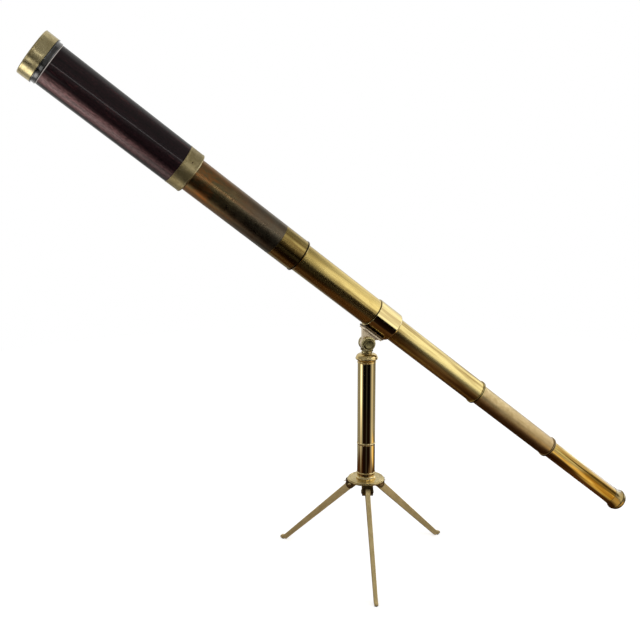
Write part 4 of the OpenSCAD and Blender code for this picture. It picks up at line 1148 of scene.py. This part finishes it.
def tent_paint(bench, where, bearing):
    """A dim tent that is bright behind and dark low in front. A broad soft panel hangs on the right, with a
    brighter edge, a low one on the left and a thin strip of light in front."""
    height = where["Z"]
    behind = bench.math("ABSOLUTE", bearing)
    lean = bench.minus(bearing, bench.times(height, 24.0))
    rise = bench.plus(height, bench.math("DIVIDE", bearing, 150.0))
    cloth = (0.30, 0.30, 0.29, 1)
    for colour, *bounds in (
            ((0.72, 0.72, 0.70), (behind, 112, 140)),
            ((0.045, 0.042, 0.038), (bearing, -62, -50, 60, 72), (height, 0.56, 0.36)),
            ((1.5, 1.5, 1.47), (lean, 2, 24, 84, 140), (height, -0.10, 0.12, 1.0, 1.36)),
            ((0.22, 0.21, 0.18), (bearing, 58, 66, 78, 85), (height, 0.30, 0.20)),
            ((2.2, 2.5, 3.1), (bearing, 80, 90, 125, 135), (rise, 0.97, 0.92)),
            ((1.3, 1.3, 1.26), (bearing, -70, -58, -46, -38), (height, 0.45, 0.25)),
            ((4.0, 4.0, 4.0), (bearing, -20, -16, 19, 22), (height, 0.765, 0.78, 0.83, 0.845))):
        cloth = bench.patch(cloth, colour, *bounds)
    return cloth


def table_paint(bench, where, bearing):
    """Brown under the object, black in front, bright at the left and right and grey behind."""
    x, y = where["X"], where["Y"]
    reach = bench.math("SQRT", bench.squares(x, y))
    oval = bench.squares(bench.math("DIVIDE", bench.minus(x, 0.03), 0.52), bench.math("DIVIDE", y, 0.40))
    brown = bench.patch((0.080, 0.034, 0.013, 1), (0.30, 0.20, 0.13), (x, -0.04, 0.06), (y, -0.10, -0.32))
    brown = bench.patch(brown, (0.035, 0.014, 0.005), (x, 0.08, 0.18, 0.30, 0.37), (y, -0.16, -0.05))
    cloth = bench.blend(bench.band(oval, 1.3, 0.8), (0.33, 0.33, 0.32, 1), brown)
    away = (reach, 0.28, 0.60)
    for colour, *bounds in (
            ((0.85, 0.80, 0.72), (bearing, 40, 54, 62, 78), away),
            ((0.80, 0.76, 0.68), (bearing, -106, -97, -86, -76), away),
            ((2.2, 2.2, 2.1), (x, -0.50, -0.92), (bearing, -108, -97, -86, -73)),
            ((1.35, 1.0, 0.46), (x, 0.35, 0.41, 0.50, 0.58), (y, -0.34, -0.18, -0.05, -0.01))):
        cloth = bench.patch(cloth, colour, *bounds)
    ahead = bench.times(bench.span(bearing, -72, -62, 6, 16), bench.band(reach, 0.22, 0.30))
    aside = bench.times(bench.span(bearing, 6, 16, 24, 42), bench.band(reach, 0.28, 0.42))
    black = bench.blend(bench.band(reach, 0.60, 0.85), (0.011, 0.005, 0.003, 1), (0.004, 0.003, 0.003, 1))
    black = bench.patch(black, (0.05, 0.05, 0.05), (bearing, -25, -21, -13, -9))
    return bench.blend(bench.plus(ahead, aside), cloth, black)


def hang_cloth(name, rings, material):
    """A turned sheet through rings of (radius, height) that only polished surfaces mirror."""
    points = [(x, y, z) for r, z in rings for x, y in circle(0, 0, r, SKIRT)]
    faces = []
    for low in range(0, (len(rings) - 1) * SKIRT, SKIRT):
        faces += ring_faces(low, low + SKIRT, SKIRT)
    cloth = sheet_mesh(name, points, faces, material)
    for ray in UNSEEN_BY:
        setattr(cloth, "visible_" + ray, False)


def hang_lamp(name, place, target, size, power):
    lamp = bpy.data.lights.new(name, "AREA")
    lamp.shape = "RECTANGLE"
    lamp.size, lamp.size_y = size
    lamp.energy = power
    holder = put(name, lamp)
    look = Vector(target) - Vector(place)
    holder.matrix_world = Matrix.Translation(place) @ look.to_track_quat("-Z", "Y").to_matrix().to_4x4()
    holder.visible_camera = False
    holder.visible_glossy = False


def set_world():
    """White where the camera or a mirror looks past the tent, and a softer white that lights the part."""
    world = bpy.data.worlds.new("studio")
    bpy.context.scene.world = world
    bench = fresh_bench(world)
    path = bench.add("ShaderNodeLightPath").outputs
    mirrored = bench.math("MAXIMUM", path["Is Glossy Ray"], path["Is Transmission Ray"])
    direct = bench.math("MAXIMUM", path["Is Camera Ray"], mirrored)
    soft = bench.take("ShaderNodeBackground", {"Color": (1, 1, 1, 1), "Strength": 0.62})
    white = bench.take("ShaderNodeBackground", {"Color": (1, 1, 1, 1), "Strength": 1.0})
    mixed = bench.take("ShaderNodeMixShader", {0: direct, 1: soft, 2: white})
    bench.add("ShaderNodeOutputWorld", {"Surface": mixed})


def set_stage():
    edge = [(x, y, 0.0) for x, y in circle(0, 0, FLOOR_RADIUS, SKIRT)]
    sheet_mesh("floor", edge, [tuple(range(SKIRT))], floor_paper())
    walls = [(TENT_RADIUS, 0.0), (TENT_RADIUS, 0.95), (1.25, 1.25), (0.8, 1.5), (0.001, 1.6)]
    hang_cloth("tent", walls, mirrored_cloth("tent_cloth", tent_paint))
    table = [(TENT_RADIUS, TABLE_HEIGHT), (0.001, TABLE_HEIGHT)]
    hang_cloth("table_cloth", table, mirrored_cloth("table_paint", table_paint))
    set_world()
    hang_lamp("window_right", (1.25, -1.15, 0.72), (0.05, 0, 0.33), (1.0, 0.8), 8.0)
    hang_lamp("fill_left", (-1.3, -0.6, 1.1), (-0.1, 0, 0.35), (0.8, 0.8), 3.0)


set_stage()

view = bpy.context.scene.view_settings
view.view_transform = "Standard"
